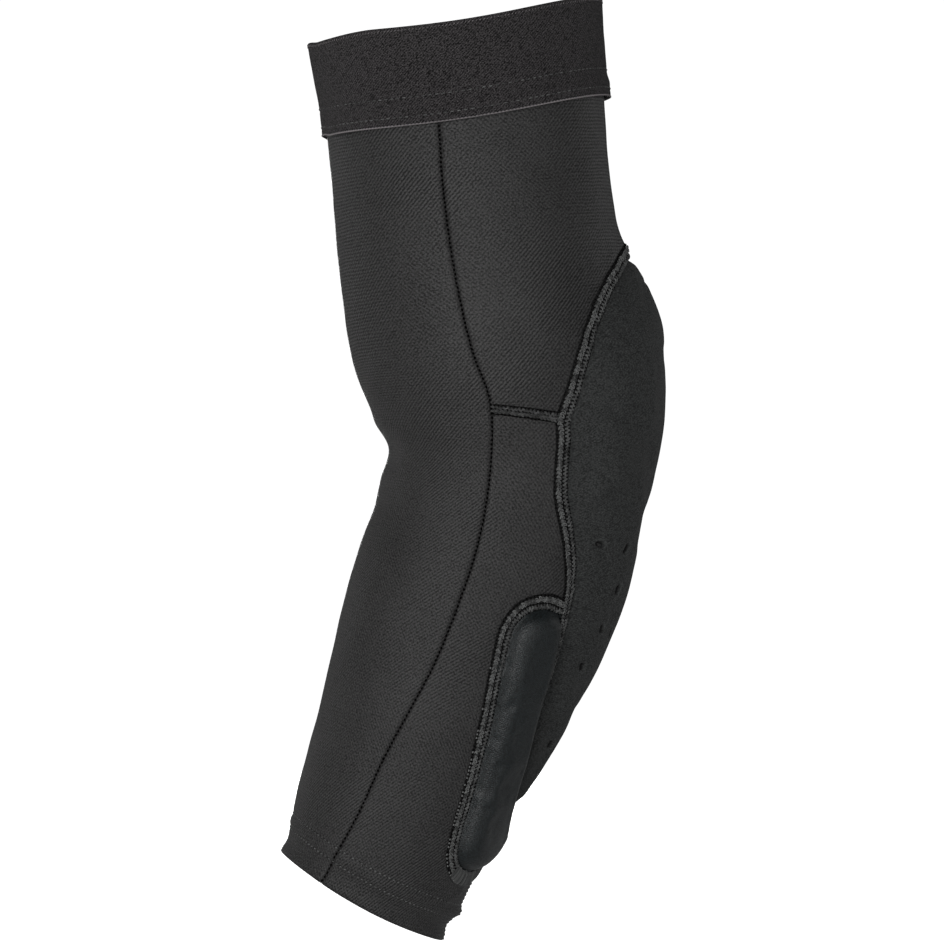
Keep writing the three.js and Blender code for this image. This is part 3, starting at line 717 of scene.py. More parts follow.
    def piece(self, name: str, material: bpy.types.Material) -> bpy.types.Object:
        """Makes the object, smooth shaded, with its plan and shade as texture maps."""
        mesh = bpy.data.meshes.new(name)
        mesh.from_pydata((np.concatenate(self.points) * MM).tolist(), [], self.faces)
        corners = np.zeros(len(mesh.loops), np.int32)
        mesh.loops.foreach_get("vertex_index", corners)
        uv = np.concatenate(self.uvs) * UV_SCALE
        tint = np.concatenate(self.tints)
        for layer, values in (("Plan", uv), ("Tint", np.stack([tint, tint], 1))):
            data = mesh.uv_layers.new(name=layer).data
            data.foreach_set("uv", values[corners].astype(np.float32).ravel())
        mesh.polygons.foreach_set("use_smooth", np.ones(len(mesh.polygons), bool))
        mesh.materials.append(material)
        mesh.validate()
        mesh.update()
        return linked(name, mesh)


@dataclass
class Bend:
    """The planes between which the sleeve bends at the elbow."""

    tilt: float = 5.75  # degrees of the bend's middle plane from level
    reach: float = 58.0  # each plane's distance from the elbow


def settle(piece: bpy.types.Object, motion: Motion, slot: str, *nodes: str) -> bpy.types.Object:
    """Attaches a finished piece to its body's empty, or bakes its transform for a bending piece,
    and hides the nodes it stands for.
    """
    if motion is Motion.BENDS:
        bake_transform(piece)
    else:
        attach(piece, motion.value)
    if nodes:
        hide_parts(*nodes)
    LOG.info("%s: %d faces, %s", piece.name, len(piece.data.polygons), motion.value)
    return piece


# ---- Shader helpers --------------------------------------------------------

Value = object  # a socket, or a plain number or colour


class NodeTree:
    """Short calls that add and link nodes in one tree."""

    def __init__(self, tree: bpy.types.NodeTree) -> None:
        """Works on the given tree."""
        self.tree = tree

    def node(self, kind: str, inputs: dict, **settings: object) -> bpy.types.Node:
        """Adds a node, sets it up and links or fills its inputs."""
        made = self.tree.nodes.new(kind)
        for name, value in settings.items():
            setattr(made, name, value)
        for name, value in inputs.items():
            self.feed(made.inputs[name], value)
        return made

    def feed(self, socket: bpy.types.NodeSocket, value: Value) -> None:
        """Links a socket or sets its plain value."""
        if isinstance(value, bpy.types.NodeSocket):
            self.tree.links.new(value, socket)
        else:
            socket.default_value = value

    def math(self, operation: str, *values: Value) -> bpy.types.NodeSocket:
        """One arithmetic step."""
        inputs = dict(enumerate(values))
        return self.node("ShaderNodeMath", inputs, operation=operation).outputs[0]

    def noise(self, vector: Value, scale: Value, detail: float = 2.0) -> bpy.types.NodeSocket:
        """Soft noise from 0 to 1."""
        inputs = {"Vector": vector, "Scale": scale, "Detail": detail}
        return self.node("ShaderNodeTexNoise", inputs).outputs["Fac"]

    def spread(self, value: Value, low: float, high: float,
               to_low: Value = 0.0, to_high: Value = 1.0) -> bpy.types.NodeSocket:
        """Maps a range of values to another, clamped."""
        inputs = {"Value": value, "From Min": low, "From Max": high,
                  "To Min": to_low, "To Max": to_high}
        return self.node("ShaderNodeMapRange", inputs).outputs["Result"]

    def blend(self, factor: Value, low: Value, high: Value) -> bpy.types.NodeSocket:
        """Mixes two colours."""
        made = self.node("ShaderNodeMix", {0: factor, 6: low, 7: high}, data_type="RGBA")
        return made.outputs[2]

    def parts(self, vector: Value) -> bpy.types.NodeOutputs:
        """A vector's X, Y and Z."""
        return self.node("ShaderNodeSeparateXYZ", {"Vector": vector}).outputs

    def plan(self, layer: str = "Plan") -> bpy.types.NodeSocket:
        """One of the piece's texture maps."""
        return self.node("ShaderNodeUVMap", {}, uv_map=layer).outputs["UV"]

    def shade(self) -> bpy.types.NodeSocket:
        """The shade that the piece was given at each place."""
        return self.parts(self.plan("Tint"))["X"]


def new_group(name: str, inputs: dict, outputs: Sequence[str]) -> tuple[NodeTree, dict, dict]:
    """Starts a shader node group.

    Args:
        name: the group's name.
        inputs: each input's name with its default; a None is a vector.
        outputs: names of the value outputs.

    Returns:
        The tree, its input sockets by name and its output sockets by name.
    """
    tree = bpy.data.node_groups.new(name, "ShaderNodeTree")
    for label, default in inputs.items():
        kind = "NodeSocketVector" if default is None else "NodeSocketFloat"
        socket = tree.interface.new_socket(label, in_out="INPUT", socket_type=kind)
        if default is not None:
            socket.default_value = default
    for label in outputs:
        tree.interface.new_socket(label, in_out="OUTPUT", socket_type="NodeSocketFloat")
    entry = tree.nodes.new("NodeGroupInput")
    leave = tree.nodes.new("NodeGroupOutput")
    found_in = {label: entry.outputs[label] for label in inputs}
    found_out = {label: leave.inputs[label] for label in outputs}
    return NodeTree(tree), found_in, found_out


def rib_knit_group() -> bpy.types.NodeTree:
    """Compression knit: crossing fine ribs, level courses and loop grain."""
    inputs = {"Plan": None, "Rib Pitch": 1.1, "Course Pitch": 1.15, "Left Ribs": 0.5,
              "Right Ribs": 0.8, "Courses": 0.4, "Grain": 0.5, "Round": 0.0}
    n, i, o = new_group("rib_knit", inputs, ["Height", "Tone"])
    waver = n.noise(i["Plan"], 6.0)
    parts = n.parts(i["Plan"])
    x = n.math("MULTIPLY_ADD", waver, 1.6, n.math("MULTIPLY", parts["X"], 1 / UV_SCALE))
    y = n.math("MULTIPLY_ADD", waver, -1.2, n.math("MULTIPLY", parts["Y"], 1 / UV_SCALE))
    turn = 2 * math.pi
    slant = n.math("DIVIDE", turn * math.sqrt(0.5), i["Rib Pitch"])
    right = n.math("SINE", n.math("MULTIPLY", n.math("SUBTRACT", x, y), slant))
    left = n.math("SINE", n.math("MULTIPLY", n.math("ADD", x, y), slant))
    level = n.math("SINE", n.math("MULTIPLY", y, n.math("DIVIDE", turn, i["Course Pitch"])))
    zone = n.spread(n.noise(i["Plan"], 2.6, 1.0), 0.35, 0.65, 0.15, 1.0)
    other = n.math("SUBTRACT", 1.15, zone)
    lengthwise = n.math("MULTIPLY_ADD", i["Round"], -0.8, 1.0)
    waves = n.math("MULTIPLY", n.math("MULTIPLY", right, i["Right Ribs"]), zone)
    waves = n.math("MULTIPLY_ADD", n.math("MULTIPLY", left, i["Left Ribs"]), other, waves)
    waves = n.math("MULTIPLY", waves, lengthwise)
    around = n.math("MULTIPLY_ADD", i["Round"], 1.0, i["Courses"])
    waves = n.math("MULTIPLY_ADD", level, around, waves)
    cells = n.node("ShaderNodeTexVoronoi", {"Vector": i["Plan"], "Scale": 190.0})
    loops = cells.outputs["Distance"]
    speck = n.noise(i["Plan"], 170.0, 1.0)
    grain = n.math("SUBTRACT", n.math("MULTIPLY", speck, 2.4), loops)
    grain = n.math("SUBTRACT", grain, 0.75)
    height = n.math("MULTIPLY_ADD", grain, i["Grain"], n.math("MULTIPLY", waves, 0.5))
    n.feed(o["Height"], height)
    # Tone follows the height: painted shade in the grooves and paler rib tops.
    n.feed(o["Tone"], n.spread(height, -0.8, 0.8))
    return n.tree


def cloth_grain_group() -> bpy.types.NodeTree:
    """Pebbled or smooth close cloth: small bumps with slow shading."""
    inputs = {"Plan": None, "Pebble Size": 0.7, "Slant": 0.3}
    n, i, o = new_group("cloth_grain", inputs, ["Height", "Tone"])
    scale = n.math("DIVIDE", 1 / UV_SCALE, i["Pebble Size"])
    pebbles = n.node("ShaderNodeTexVoronoi", {"Vector": i["Plan"], "Scale": scale})
    cells = pebbles.outputs["Distance"]
    fine = n.noise(i["Plan"], n.math("MULTIPLY", scale, 1.4), 1.0)
    parts = n.parts(i["Plan"])
    slanted = n.math("ADD", n.math("MULTIPLY", parts["X"], 1.0), parts["Y"])
    twill = n.math("SINE", n.math("MULTIPLY", slanted, n.math("MULTIPLY", scale, 3.6)))
    bumps = n.math("SUBTRACT", n.math("MULTIPLY", fine, 2.2), cells)
    height = n.math("MULTIPLY_ADD", n.math("MULTIPLY", twill, 0.5), i["Slant"], bumps)
    n.feed(o["Height"], height)
    # Tone follows the height: painted shade between the pebbles and paler tops.
    n.feed(o["Tone"], n.spread(height, 0.1, 1.3))
    return n.tree


def wear_group() -> bpy.types.NodeTree:
    """Handling marks: slow paler patches and a little lint."""
    n, i, o = new_group("wear", {"Plan": None, "Lint": 0.3}, ["Fade"])
    slow = n.spread(n.noise(i["Plan"], 3.1, 3.0), 0.35, 0.75)
    lint = n.spread(n.noise(i["Plan"], 95.0, 1.0), 0.74, 0.8)
    n.feed(o["Fade"], n.math("MULTIPLY_ADD", lint, i["Lint"], slow))
    return n.tree


def thread_group() -> bpy.types.NodeTree:
    """Twisted thread: slanting plies along the thread's own length."""
    n, i, o = new_group("thread_twist", {"Run": None, "Ply": 0.5}, ["Height", "Tone"])
    parts = n.parts(i["Run"])
    run = n.math("MULTIPLY", parts["X"], n.math("DIVIDE", 2 * math.pi / UV_SCALE, i["Ply"]))
    turn = n.math("MULTIPLY_ADD", parts["Y"], 2 / UV_SCALE, run)
    plies = n.spread(n.math("SINE", turn), -1.0, 1.0)
    n.feed(o["Height"], plies)
    # Tone: painted shade between the plies, mixed with random tone.
    n.feed(o["Tone"], n.math("MULTIPLY_ADD", n.noise(i["Run"], 90.0), 0.4, plies))
    return n.tree


class Effects:
    """The shader node groups that the finishes share, each built once."""

    built: dict[str, bpy.types.NodeTree] = {}
    makers: dict[str, Callable[[], bpy.types.NodeTree]] = {
        "rib_knit": rib_knit_group,
        "cloth_grain": cloth_grain_group,
        "wear": wear_group,
        "thread_twist": thread_group,
    }

    @classmethod
    def use(cls, nodes: NodeTree, name: str, **inputs: Value) -> bpy.types.NodeOutputs:
        """Places a group in a material and returns its outputs."""
        if name not in cls.built:
            cls.built[name] = cls.makers[name]()
        made = nodes.tree.nodes.new("ShaderNodeGroup")
        made.node_tree = cls.built[name]
        for label, value in inputs.items():
            nodes.feed(made.inputs[label.replace("_", " ")], value)
        return made.outputs


@dataclass(frozen=True)
class Surface:
    """What every finish states: its colour and how it takes the light."""

    name: str
    colour: Sequence[float]
    pale: Sequence[float]
    roughness: float
    specular: float = 0.35
    sheen: float = 0.0
    bump: float = 0.3
    depth: float = 0.00012

    def start(self) -> tuple[bpy.types.Material, NodeTree, bpy.types.Node]:
        """A material with its constant values set on the shader."""
        material = bpy.data.materials.new(self.name)
        material.use_nodes = True
        shader = material.node_tree.nodes["Principled BSDF"]
        shader.inputs["Specular IOR Level"].default_value = self.specular
        shader.inputs["Sheen Weight"].default_value = self.sheen
        shader.inputs["Sheen Roughness"].default_value = 0.45
        material.diffuse_color = (*self.colour, 1)
        return material, NodeTree(material.node_tree), shader

    def finish(self, n: NodeTree, shader: bpy.types.Node, tone: Value, height: Value,
               rough: Value, outside_slot_shade: Optional[Value] = None) -> None:
        """Links colour, roughness and bump to the shader.

        Args:
            n: the material's tree.
            shader: its Principled node.
            tone: 0 for the dark colour to 1 for the pale one.
            height: relief for the bump.
            rough: roughness over the surface.
            outside_slot_shade: 0 in the punched slots, where the colour becomes near-black painted
                shade, 1 elsewhere.
        """
        colour = n.blend(tone, (*self.colour, 1), (*self.pale, 1))
        # Where a slot mask is given, the slots get near-black painted shade.
        if outside_slot_shade is not None:
            colour = n.blend(outside_slot_shade, (*grey(SLOT_SHADE), 1), colour)
        n.feed(shader.inputs["Base Color"], colour)
        n.feed(shader.inputs["Roughness"], rough)
        bump = n.node("ShaderNodeBump", {
            "Height": height, "Strength": self.bump, "Distance": self.depth})
        n.feed(shader.inputs["Normal"], bump.outputs["Normal"])


@dataclass(frozen=True)
class KnitFinish(Surface):
    """Compression knit with crossing ribs."""

    rib_pitch: float = 1.1
    course_pitch: float = 1.15
    left_ribs: float = 0.55
    right_ribs: float = 0.8
    courses: float = 0.4
    grain: float = 1.0

    def material(self) -> bpy.types.Material:
        """Builds the material."""
        material, n, shader = self.start()
        plan = n.plan()
        shade = n.shade()
        knit = Effects.use(n, "rib_knit", Plan=plan, Rib_Pitch=self.rib_pitch,
                           Course_Pitch=self.course_pitch, Left_Ribs=self.left_ribs,
                           Right_Ribs=self.right_ribs, Courses=self.courses, Grain=self.grain,
                           Round=shade)
        wear = Effects.use(n, "wear", Plan=plan, Lint=0.6)
        tone = n.math("MULTIPLY_ADD", wear["Fade"], 0.15, n.math("MULTIPLY", knit["Tone"], 0.85))
        rough = n.spread(knit["Tone"], 0.0, 1.0, self.roughness + 0.08, self.roughness - 0.08)
        self.finish(n, shader, tone, knit["Height"], rough)
        return material


@dataclass(frozen=True)
class ClothFinish(Surface):
    """Close cloth with pebbled or smooth grain, darker where its tint is low."""

    pebble: float = 0.7
    slant: float = 0.3
    lint: float = 0.3
    fade: float = 0.3

    def material(self) -> bpy.types.Material:
        """Builds the material."""
        material, n, shader = self.start()
        plan = n.plan()
        grain = Effects.use(n, "cloth_grain", Plan=plan, Pebble_Size=self.pebble, Slant=self.slant)
        wear = Effects.use(n, "wear", Plan=plan, Lint=self.lint)
        shade = n.shade()
        tone = n.math("MULTIPLY_ADD", wear["Fade"], self.fade,
                      n.math("MULTIPLY", grain["Tone"], 1 - self.fade))
        # The tint shifts the tone; on the pad cover it is painted shade in the slots and a painted
        # highlight along one rim of each.
        tone = n.math("MULTIPLY_ADD", n.math("SUBTRACT", shade, 0.5), 1.6, tone)
        rough = n.spread(grain["Tone"], 0.0, 1.0, self.roughness + 0.06, self.roughness - 0.06)
        # Near-black painted shade where the tint is lowest, in the slots.
        outside_slot_shade = n.spread(shade, 0.05, 0.3)
        self.finish(n, shader, tone, grain["Height"], rough, outside_slot_shade)
        return material


@dataclass(frozen=True)
class ThreadFinish(Surface):
    """Twisted thread whose stitches differ in shade: partly random tone, partly painted glints
    toward the pale colour.
    """

    ply: float = 0.45

    def material(self) -> bpy.types.Material:
        """Builds the material."""
        material, n, shader = self.start()
        twist = Effects.use(n, "thread_twist", Run=n.plan(), Ply=self.ply)
        shade = n.shade()
        tone = n.math("MULTIPLY", n.math("MULTIPLY_ADD", twist["Tone"], 0.5, 0.5), shade)
        rough = n.spread(twist["Tone"], 0.0, 1.4, self.roughness + 0.1, self.roughness - 0.1)
        self.finish(n, shader, tone, twist["Height"], rough)
        return material


@dataclass(frozen=True)
class SiliconeFinish(Surface):
    """Printed silicone with a satin skin."""

    def material(self) -> bpy.types.Material:
        """Builds the material."""
        material, n, shader = self.start()
        shader.inputs["Subsurface Weight"].default_value = 0.1
        shader.inputs["Subsurface Scale"].default_value = 0.001
        slow = n.noise(n.plan(), 20.0)
        grain = n.noise(n.plan(), 120.0)
        rough = n.spread(slow, 0.3, 0.7, self.roughness - 0.08, self.roughness + 0.08)
        self.finish(n, shader, slow, grain, rough)
        return material


def grey(level: float, tint: Sequence[float] = (1, 1, 1)) -> tuple[float, ...]:
    """A near-neutral linear colour."""
    return tuple(level * t for t in tint)


WARM = (1.05, 0.97, 1.0)
COOL = (0.74, 1.0, 1.08)
KNIT = KnitFinish("knit", grey(0.003), grey(0.080, (1.0, 0.985, 0.985)), 0.52, 0.38, sheen=0.02,
                  bump=0.6, left_ribs=1.35, right_ribs=0.55, courses=0.25, grain=1.15)
SEAM_FOLD = replace(KNIT, name="seam_fold")
CUFF_KNIT = ClothFinish("cuff_knit", grey(0.004, WARM), grey(0.108, WARM), 0.85, 0.25, 0.05,
                        bump=1.0, depth=0.0003, pebble=0.6, slant=0.45, fade=0.05)
PAD_CLOTH = ClothFinish("pad_cover", grey(0.014, (0.95, 1, 0.99)), grey(0.072, (0.95, 1, 0.99)),
                        0.72, 0.3, 0.06, bump=0.6, depth=0.0002, pebble=0.55, slant=0.2, fade=0.05)
SIDE_CLOTH = ClothFinish("side_cover", grey(0.001, COOL), grey(0.036, COOL), 0.38, 0.5, 0.02,
                         bump=0.5, depth=0.00015, pebble=0.5, slant=0.3, fade=0.05)
SEAM_BASE = ClothFinish("seam_base", grey(0.004), grey(0.03), 0.9, 0.15, bump=0.6, pebble=0.5)
# Toward its pale end the thread tint is partly painted glints on the black thread, partly random
# tone.
THREAD = ThreadFinish("thread", grey(0.014), grey(0.21, (0.98, 1, 0.99)), 0.55, 0.4, bump=0.6,
                      depth=0.00005)
# Near-black grains that stand for needle and stitch holes: painted shade of the holes.
HOLE_SHADE = ThreadFinish("hole_shade", grey(0.0005), grey(0.002), 0.9, 0.05, bump=0.4)
PALE_THREAD = ThreadFinish("pale_thread", grey(0.12, WARM), grey(0.36, WARM), 0.7, 0.3, bump=0.5,
                           depth=0.00005)
FOAM = ClothFinish("foam", grey(0.03), grey(0.055), 0.9, 0.2, bump=0.8, depth=0.0003, pebble=0.9,
                   slant=0.0)
LINING = ClothFinish("lining", grey(0.015), grey(0.06), 0.85, 0.25, 0.1, bump=0.9, depth=0.0002,
                     pebble=1.1, slant=0.6)
SILICONE = SiliconeFinish("silicone", grey(0.05), grey(0.09), 0.4, 0.5, bump=0.2)


class Wardrobe:
    """Makes each finish's material once."""

    made: dict[str, bpy.types.Material] = {}

    @classmethod
    def get(cls, finish: Surface) -> bpy.types.Material:
        """The material of a finish."""
        if finish.name not in cls.made:
            cls.made[finish.name] = finish.material()
        return cls.made[finish.name]


def dress(mesher: Mesher, name: str, finish: Surface, motion: Motion, slot: str,
          *nodes: str) -> bpy.types.Object:
    """Makes a piece of the collected mesh, in its finish, and settles it."""
    return settle(mesher.piece(name, Wardrobe.get(finish)), motion, slot, *nodes)


# ---- Seams -----------------------------------------------------------------


@dataclass
class SeamFrame:
    """Evenly spaced points on a seam with their directions."""

    shape: ArmShape
    phi: Array
    u: Array
    point: Array
    along: Array
    normal: Array
    across: Array
    plan_across: Array

    @classmethod
    def on(cls, shape: ArmShape, line: SeamLine, spacing: float) -> "SeamFrame":
        """Follows a seam line over the worn sleeve."""
        phi, u = line.even(shape, spacing)
        point = shape.place(phi, u)
        plan = np.stack([phi * MM_PER_DEGREE, u], 1)
        along, run = tangents(point, line.closed), tangents(plan, line.closed)
        normal = shape.normals(phi, u)
        aside = np.stack([-run[:, 1], run[:, 0]], 1)
        return cls(shape, phi, u, point, along, normal, unit(np.cross(along, normal)), aside)

    def shifted(self, across: Array, up: Array) -> Array:
        """Points moved across the seam over the cloth, and up from it."""
        across = np.broadcast_to(across, (len(self.phi),))
        phi = self.phi + across * self.plan_across[:, 0] / MM_PER_DEGREE
        return self.shape.place(phi, self.u + across * self.plan_across[:, 1], up)


@dataclass
class FlatlockSeam:
    """A flat seam: a low band, rows of chain stitches and looped cover threads."""

    name: str
    line: SeamLine
    width: float = 5.8
    offset: float = 0.0  # the band's middle from the line, across it
    pitch: float = 1.27
    rows: Sequence[float] = (-0.5, 0.38)  # ridges of chain stitches, over the half width
    # Tint of each row's stitches: random tone, and the paler row partly a painted highlight on its
    # ridge.
    shades: Sequence[float] = (0.5, 0.8)
    # Needle holes are near-black grains: painted shade of the holes.
    holes: Sequence[float] = (-0.86, -0.1, 0.86)  # rows of needle holes
    seed: int = 1
    # Pale knots are painted glints on the thread.
    knots: float = 0.0  # share of pale knots in the outermost row
    # Dark dashes there are longer grains of painted hole shade.
    dark_row: int = 0  # 1 or -1: that edge's row shows as dark dashes
    bars: Sequence[float] = ()  # stretch of the line that is sewn over with bars

    @property
    def half(self) -> float:
        """Half the band's width."""
        return self.width / 2

    def build(self, shape: ArmShape, motion: Motion, nodes: Sequence[str]) -> None:
        """Makes the band, the chain stitches and the cover threads.

        Args:
            shape: the worn sleeve.
            motion: how the seam follows the arm.
            nodes: CAD nodes that the band stands for.
        """
        dress(self.band(shape), f"{self.name}_band", SEAM_BASE, motion, "thread", *nodes)
        # The needle holes are near-black grains: painted shade.
        for label, make, finish in (("stitches", self.chains, THREAD),
                                    ("holes", self.needle_holes, HOLE_SHADE),
                                    ("loops", self.loops, THREAD)):
            dress(make(shape), f"{self.name}_{label}", finish, motion, "thread")

    def band(self, shape: ArmShape) -> Mesher:
        """The flat bands of thread outside and inside, over the butted cloth."""
        frame_ = SeamFrame.on(shape, self.line, 1.0)
        mesher = Mesher()
        outside = [(-1.0, 0.03), (-0.95, 0.16), (-0.6, 0.24), (0.0, 0.27), (0.6, 0.24),
                   (0.95, 0.16), (1.0, 0.03), (0.5, 0.03), (0.0, 0.03), (-0.5, 0.03)]
        for profile in (outside, [(x, -1.22 - y) for x, y in reversed(outside)]):
            rings = np.stack([
                frame_.shifted(self.offset + x * self.half, y) for x, y in profile], 1)
            count, sides = rings.shape[:2]
            closed = self.line.closed
            faces = grid_faces(count + (1 if closed else 0), sides, closed=True) % (count * sides)
            run = np.arange(count)[:, None]
            across = np.array([p[0] * self.half for p in profile])[None]
            uv = np.stack(np.broadcast_arrays(run, across), -1).reshape(-1, 2)
            start = mesher.count
            mesher.add(rings.reshape(-1, 3), faces, uv)
            if not closed:
                mesher.faces.append([start + k for k in range(sides)][::-1])
                mesher.faces.append([start + (count - 1) * sides + k for k in range(sides)])
        return mesher

    def chains(self, shape: ArmShape) -> Mesher:
        """Ridges of slanting chain stitches."""
        frame_ = SeamFrame.on(shape, self.line, self.pitch)
        random = np.random.default_rng(self.seed)
        count = len(frame_.point)
        mesher = Mesher()
        for number, (row, pale) in enumerate(zip(self.rows, self.shades)):
            sway = random.normal(0, 0.12, count)
            slant = 0.5 * (-1) ** number + 2.2 * sway
            lean = unit(frame_.along + frame_.across * slant[:, None])
            # Per-stitch tint: random tone and painted glints.
            shade = pale * random.uniform(0.15, 1.9, count)
            high = 0.36 + 0.14 * random.uniform(size=count)
            centre = frame_.shifted(self.offset + row * self.half + sway, high)
            mesher.grains(centre, lean, frame_.normal, self.pitch * 0.95, 0.85, 0.6, shade)
        if self.knots:
            # Pale knots in the outermost row: painted glints on the thread.
            share = self.knots * ramp(np.arange(count) / count, 0.1, 0.6)
            knot = np.flatnonzero(random.uniform(size=count) < share)
            centre = frame_.shifted(self.offset + 0.93 * self.half, 0.4)[knot]
            mesher.grains(centre, frame_.along[knot], frame_.normal[knot], 0.75, 0.6, 0.55,
                          random.uniform(1.6, 3.4, len(knot)))
        return mesher

    def needle_holes(self, shape: ArmShape) -> Mesher:
        """Rows of needle holes, each a small near-black grain between stitches: painted shade of
        the pit.
        """
        frame_ = SeamFrame.on(shape, self.line, self.pitch)
        random = np.random.default_rng(self.seed + 20)
        count = len(frame_.point)
        mesher = Mesher()
        for row in self.holes:
            across = self.offset + row * self.half + random.normal(0, 0.09, count)
            dashes = self.dark_row and row * self.dark_row > 0.5
            length = self.pitch * 0.75 if dashes else 0.6
            centre = frame_.shifted(across, 0.3) + frame_.along * (
                random.normal(0, 0.1, count) + self.pitch / 2)[:, None]
            mesher.grains(centre, frame_.along, frame_.normal, length, 0.5, 0.34, 0.0)
        return mesher

    def loops(self, shape: ArmShape) -> Mesher:
        """The cover threads that loop from row to row."""
        steps = 10
        frame_ = SeamFrame.on(shape, self.line, self.pitch / steps)
        count = len(frame_.point)
        random = np.random.default_rng(self.seed + 50)
        turn = np.arange(count) * 2 * math.pi * max(round(count / steps), 1) / count
        knots = np.arange(0, count + 7, 6)
        mesher = Mesher()
        for number, row in enumerate(self.rows):
            jitter = np.interp(np.arange(count), knots, random.normal(0, 0.14, len(knots)))
            phase = number * 2.1
            reach = 0.3 * self.half
            across = self.offset + row * self.half + reach * np.sin(turn + phase) + jitter
            up = 0.5 + 0.16 * np.cos(turn * 2 + phase) + 0.6 * np.abs(jitter)
            path = frame_.shifted(across, up)
            path += frame_.along * (0.3 * self.pitch * np.sin(2 * turn + phase))[:, None]
            # Tint along the cover threads: random tone with painted glints.
            shade = self.shades[number] * np.interp(
                np.arange(count), knots, random.uniform(0.1, 2.0, len(knots)))
            mesher.tube(path, frame_.normal, 0.21, sides=5, closed=self.line.closed, tint=shade)
        if self.bars:
            places = np.arange(self.bars[0], self.bars[1], 0.1)
            plan = self.line.at(places)
            ahead = unit(self.line.at(places + 0.01) - plan)
            aside = np.stack([-ahead[:, 1], ahead[:, 0]], 1)
            for spot, side in zip(plan, aside):
                across = np.linspace(-0.8, 1.0, 7)[:, None] * self.half + self.offset
                trail = spot + side * across
                phi, u = trail[:, 0] / MM_PER_DEGREE, trail[:, 1]
                rise = 0.8 - 0.5 * np.linspace(-1, 1, 7) ** 4
                mesher.tube(shape.place(phi, u, rise), shape.normals(phi, u), 0.3, sides=6,
                            tint=random.uniform(0.15, 0.8))
        return mesher


@dataclass
class FrontSeam:
    """A plain seam: a sunken strip with short near-black dashes, painted shade of the stitch holes,
    and its inside tape.
    """

    side: Side
    pitch: float = 1.5
    stitch: float = 0.98

    def build(self, shape: ArmShape, pattern: Pattern) -> None:
        """Makes the strip, the stitches and the tape on the inside."""
        name = f"front_seam_{self.side.label}"
        line = pattern.front_seam_line(self.side)
        strip = Mesher()
        frame_ = SeamFrame.on(shape, line, 1.2)
        strip.tube(frame_.shifted(0, -0.6), frame_.normal, 0.3, sides=8, flatten=1.75)
        nodes = [f"{name}_{part}" for part in ("upper", "crook", "lower")]
        dress(strip, f"{name}_strip", SEAM_FOLD, Motion.BENDS, "thread", *nodes)
        rows = Mesher()
        frame_ = SeamFrame.on(shape, line, self.pitch)
        random = np.random.default_rng(31 + self.side.value)
        count = len(frame_.point)
        lean = unit(frame_.along - frame_.across * 0.14 * self.side.value
                    + frame_.across * random.normal(0, 0.05, count)[:, None])
        centre = frame_.shifted(random.normal(0, 0.05, count), 0.1)
        # Near-black dashes: painted shade of the stitch holes along the seam.
        rows.grains(centre, lean, frame_.normal, self.stitch, 0.66, 0.4,
                    random.uniform(0, 1, count))
        dress(rows, f"{name}_stitches", HOLE_SHADE, Motion.BENDS, "thread")
        self.inside_tape(shape, line, name)

    def inside_tape(self, shape: ArmShape, line: SeamLine, name: str) -> None:
        """The overlocked seam allowance on the inside."""
        tape = Mesher()
        frame_ = SeamFrame.on(shape, line, 1.5)
        tape.tube(frame_.shifted(0, -1.75), frame_.normal, 2.4, sides=8, flatten=0.22, tint=0.3)
        steps = 6
        fine = SeamFrame.on(shape, line, 2.2 / steps)
        turn = np.arange(len(fine.point)) * 2 * math.pi / steps
        path = fine.shifted(2.1 * np.sin(turn), -2.25 + 0.12 * np.cos(2 * turn))
        tape.tube(path, fine.normal, 0.16, sides=4, tint=0.5)
        dress(tape, f"{name}_inside_tape", THREAD, Motion.BENDS, "thread")


# ---- Panels ----------------------------------------------------------------


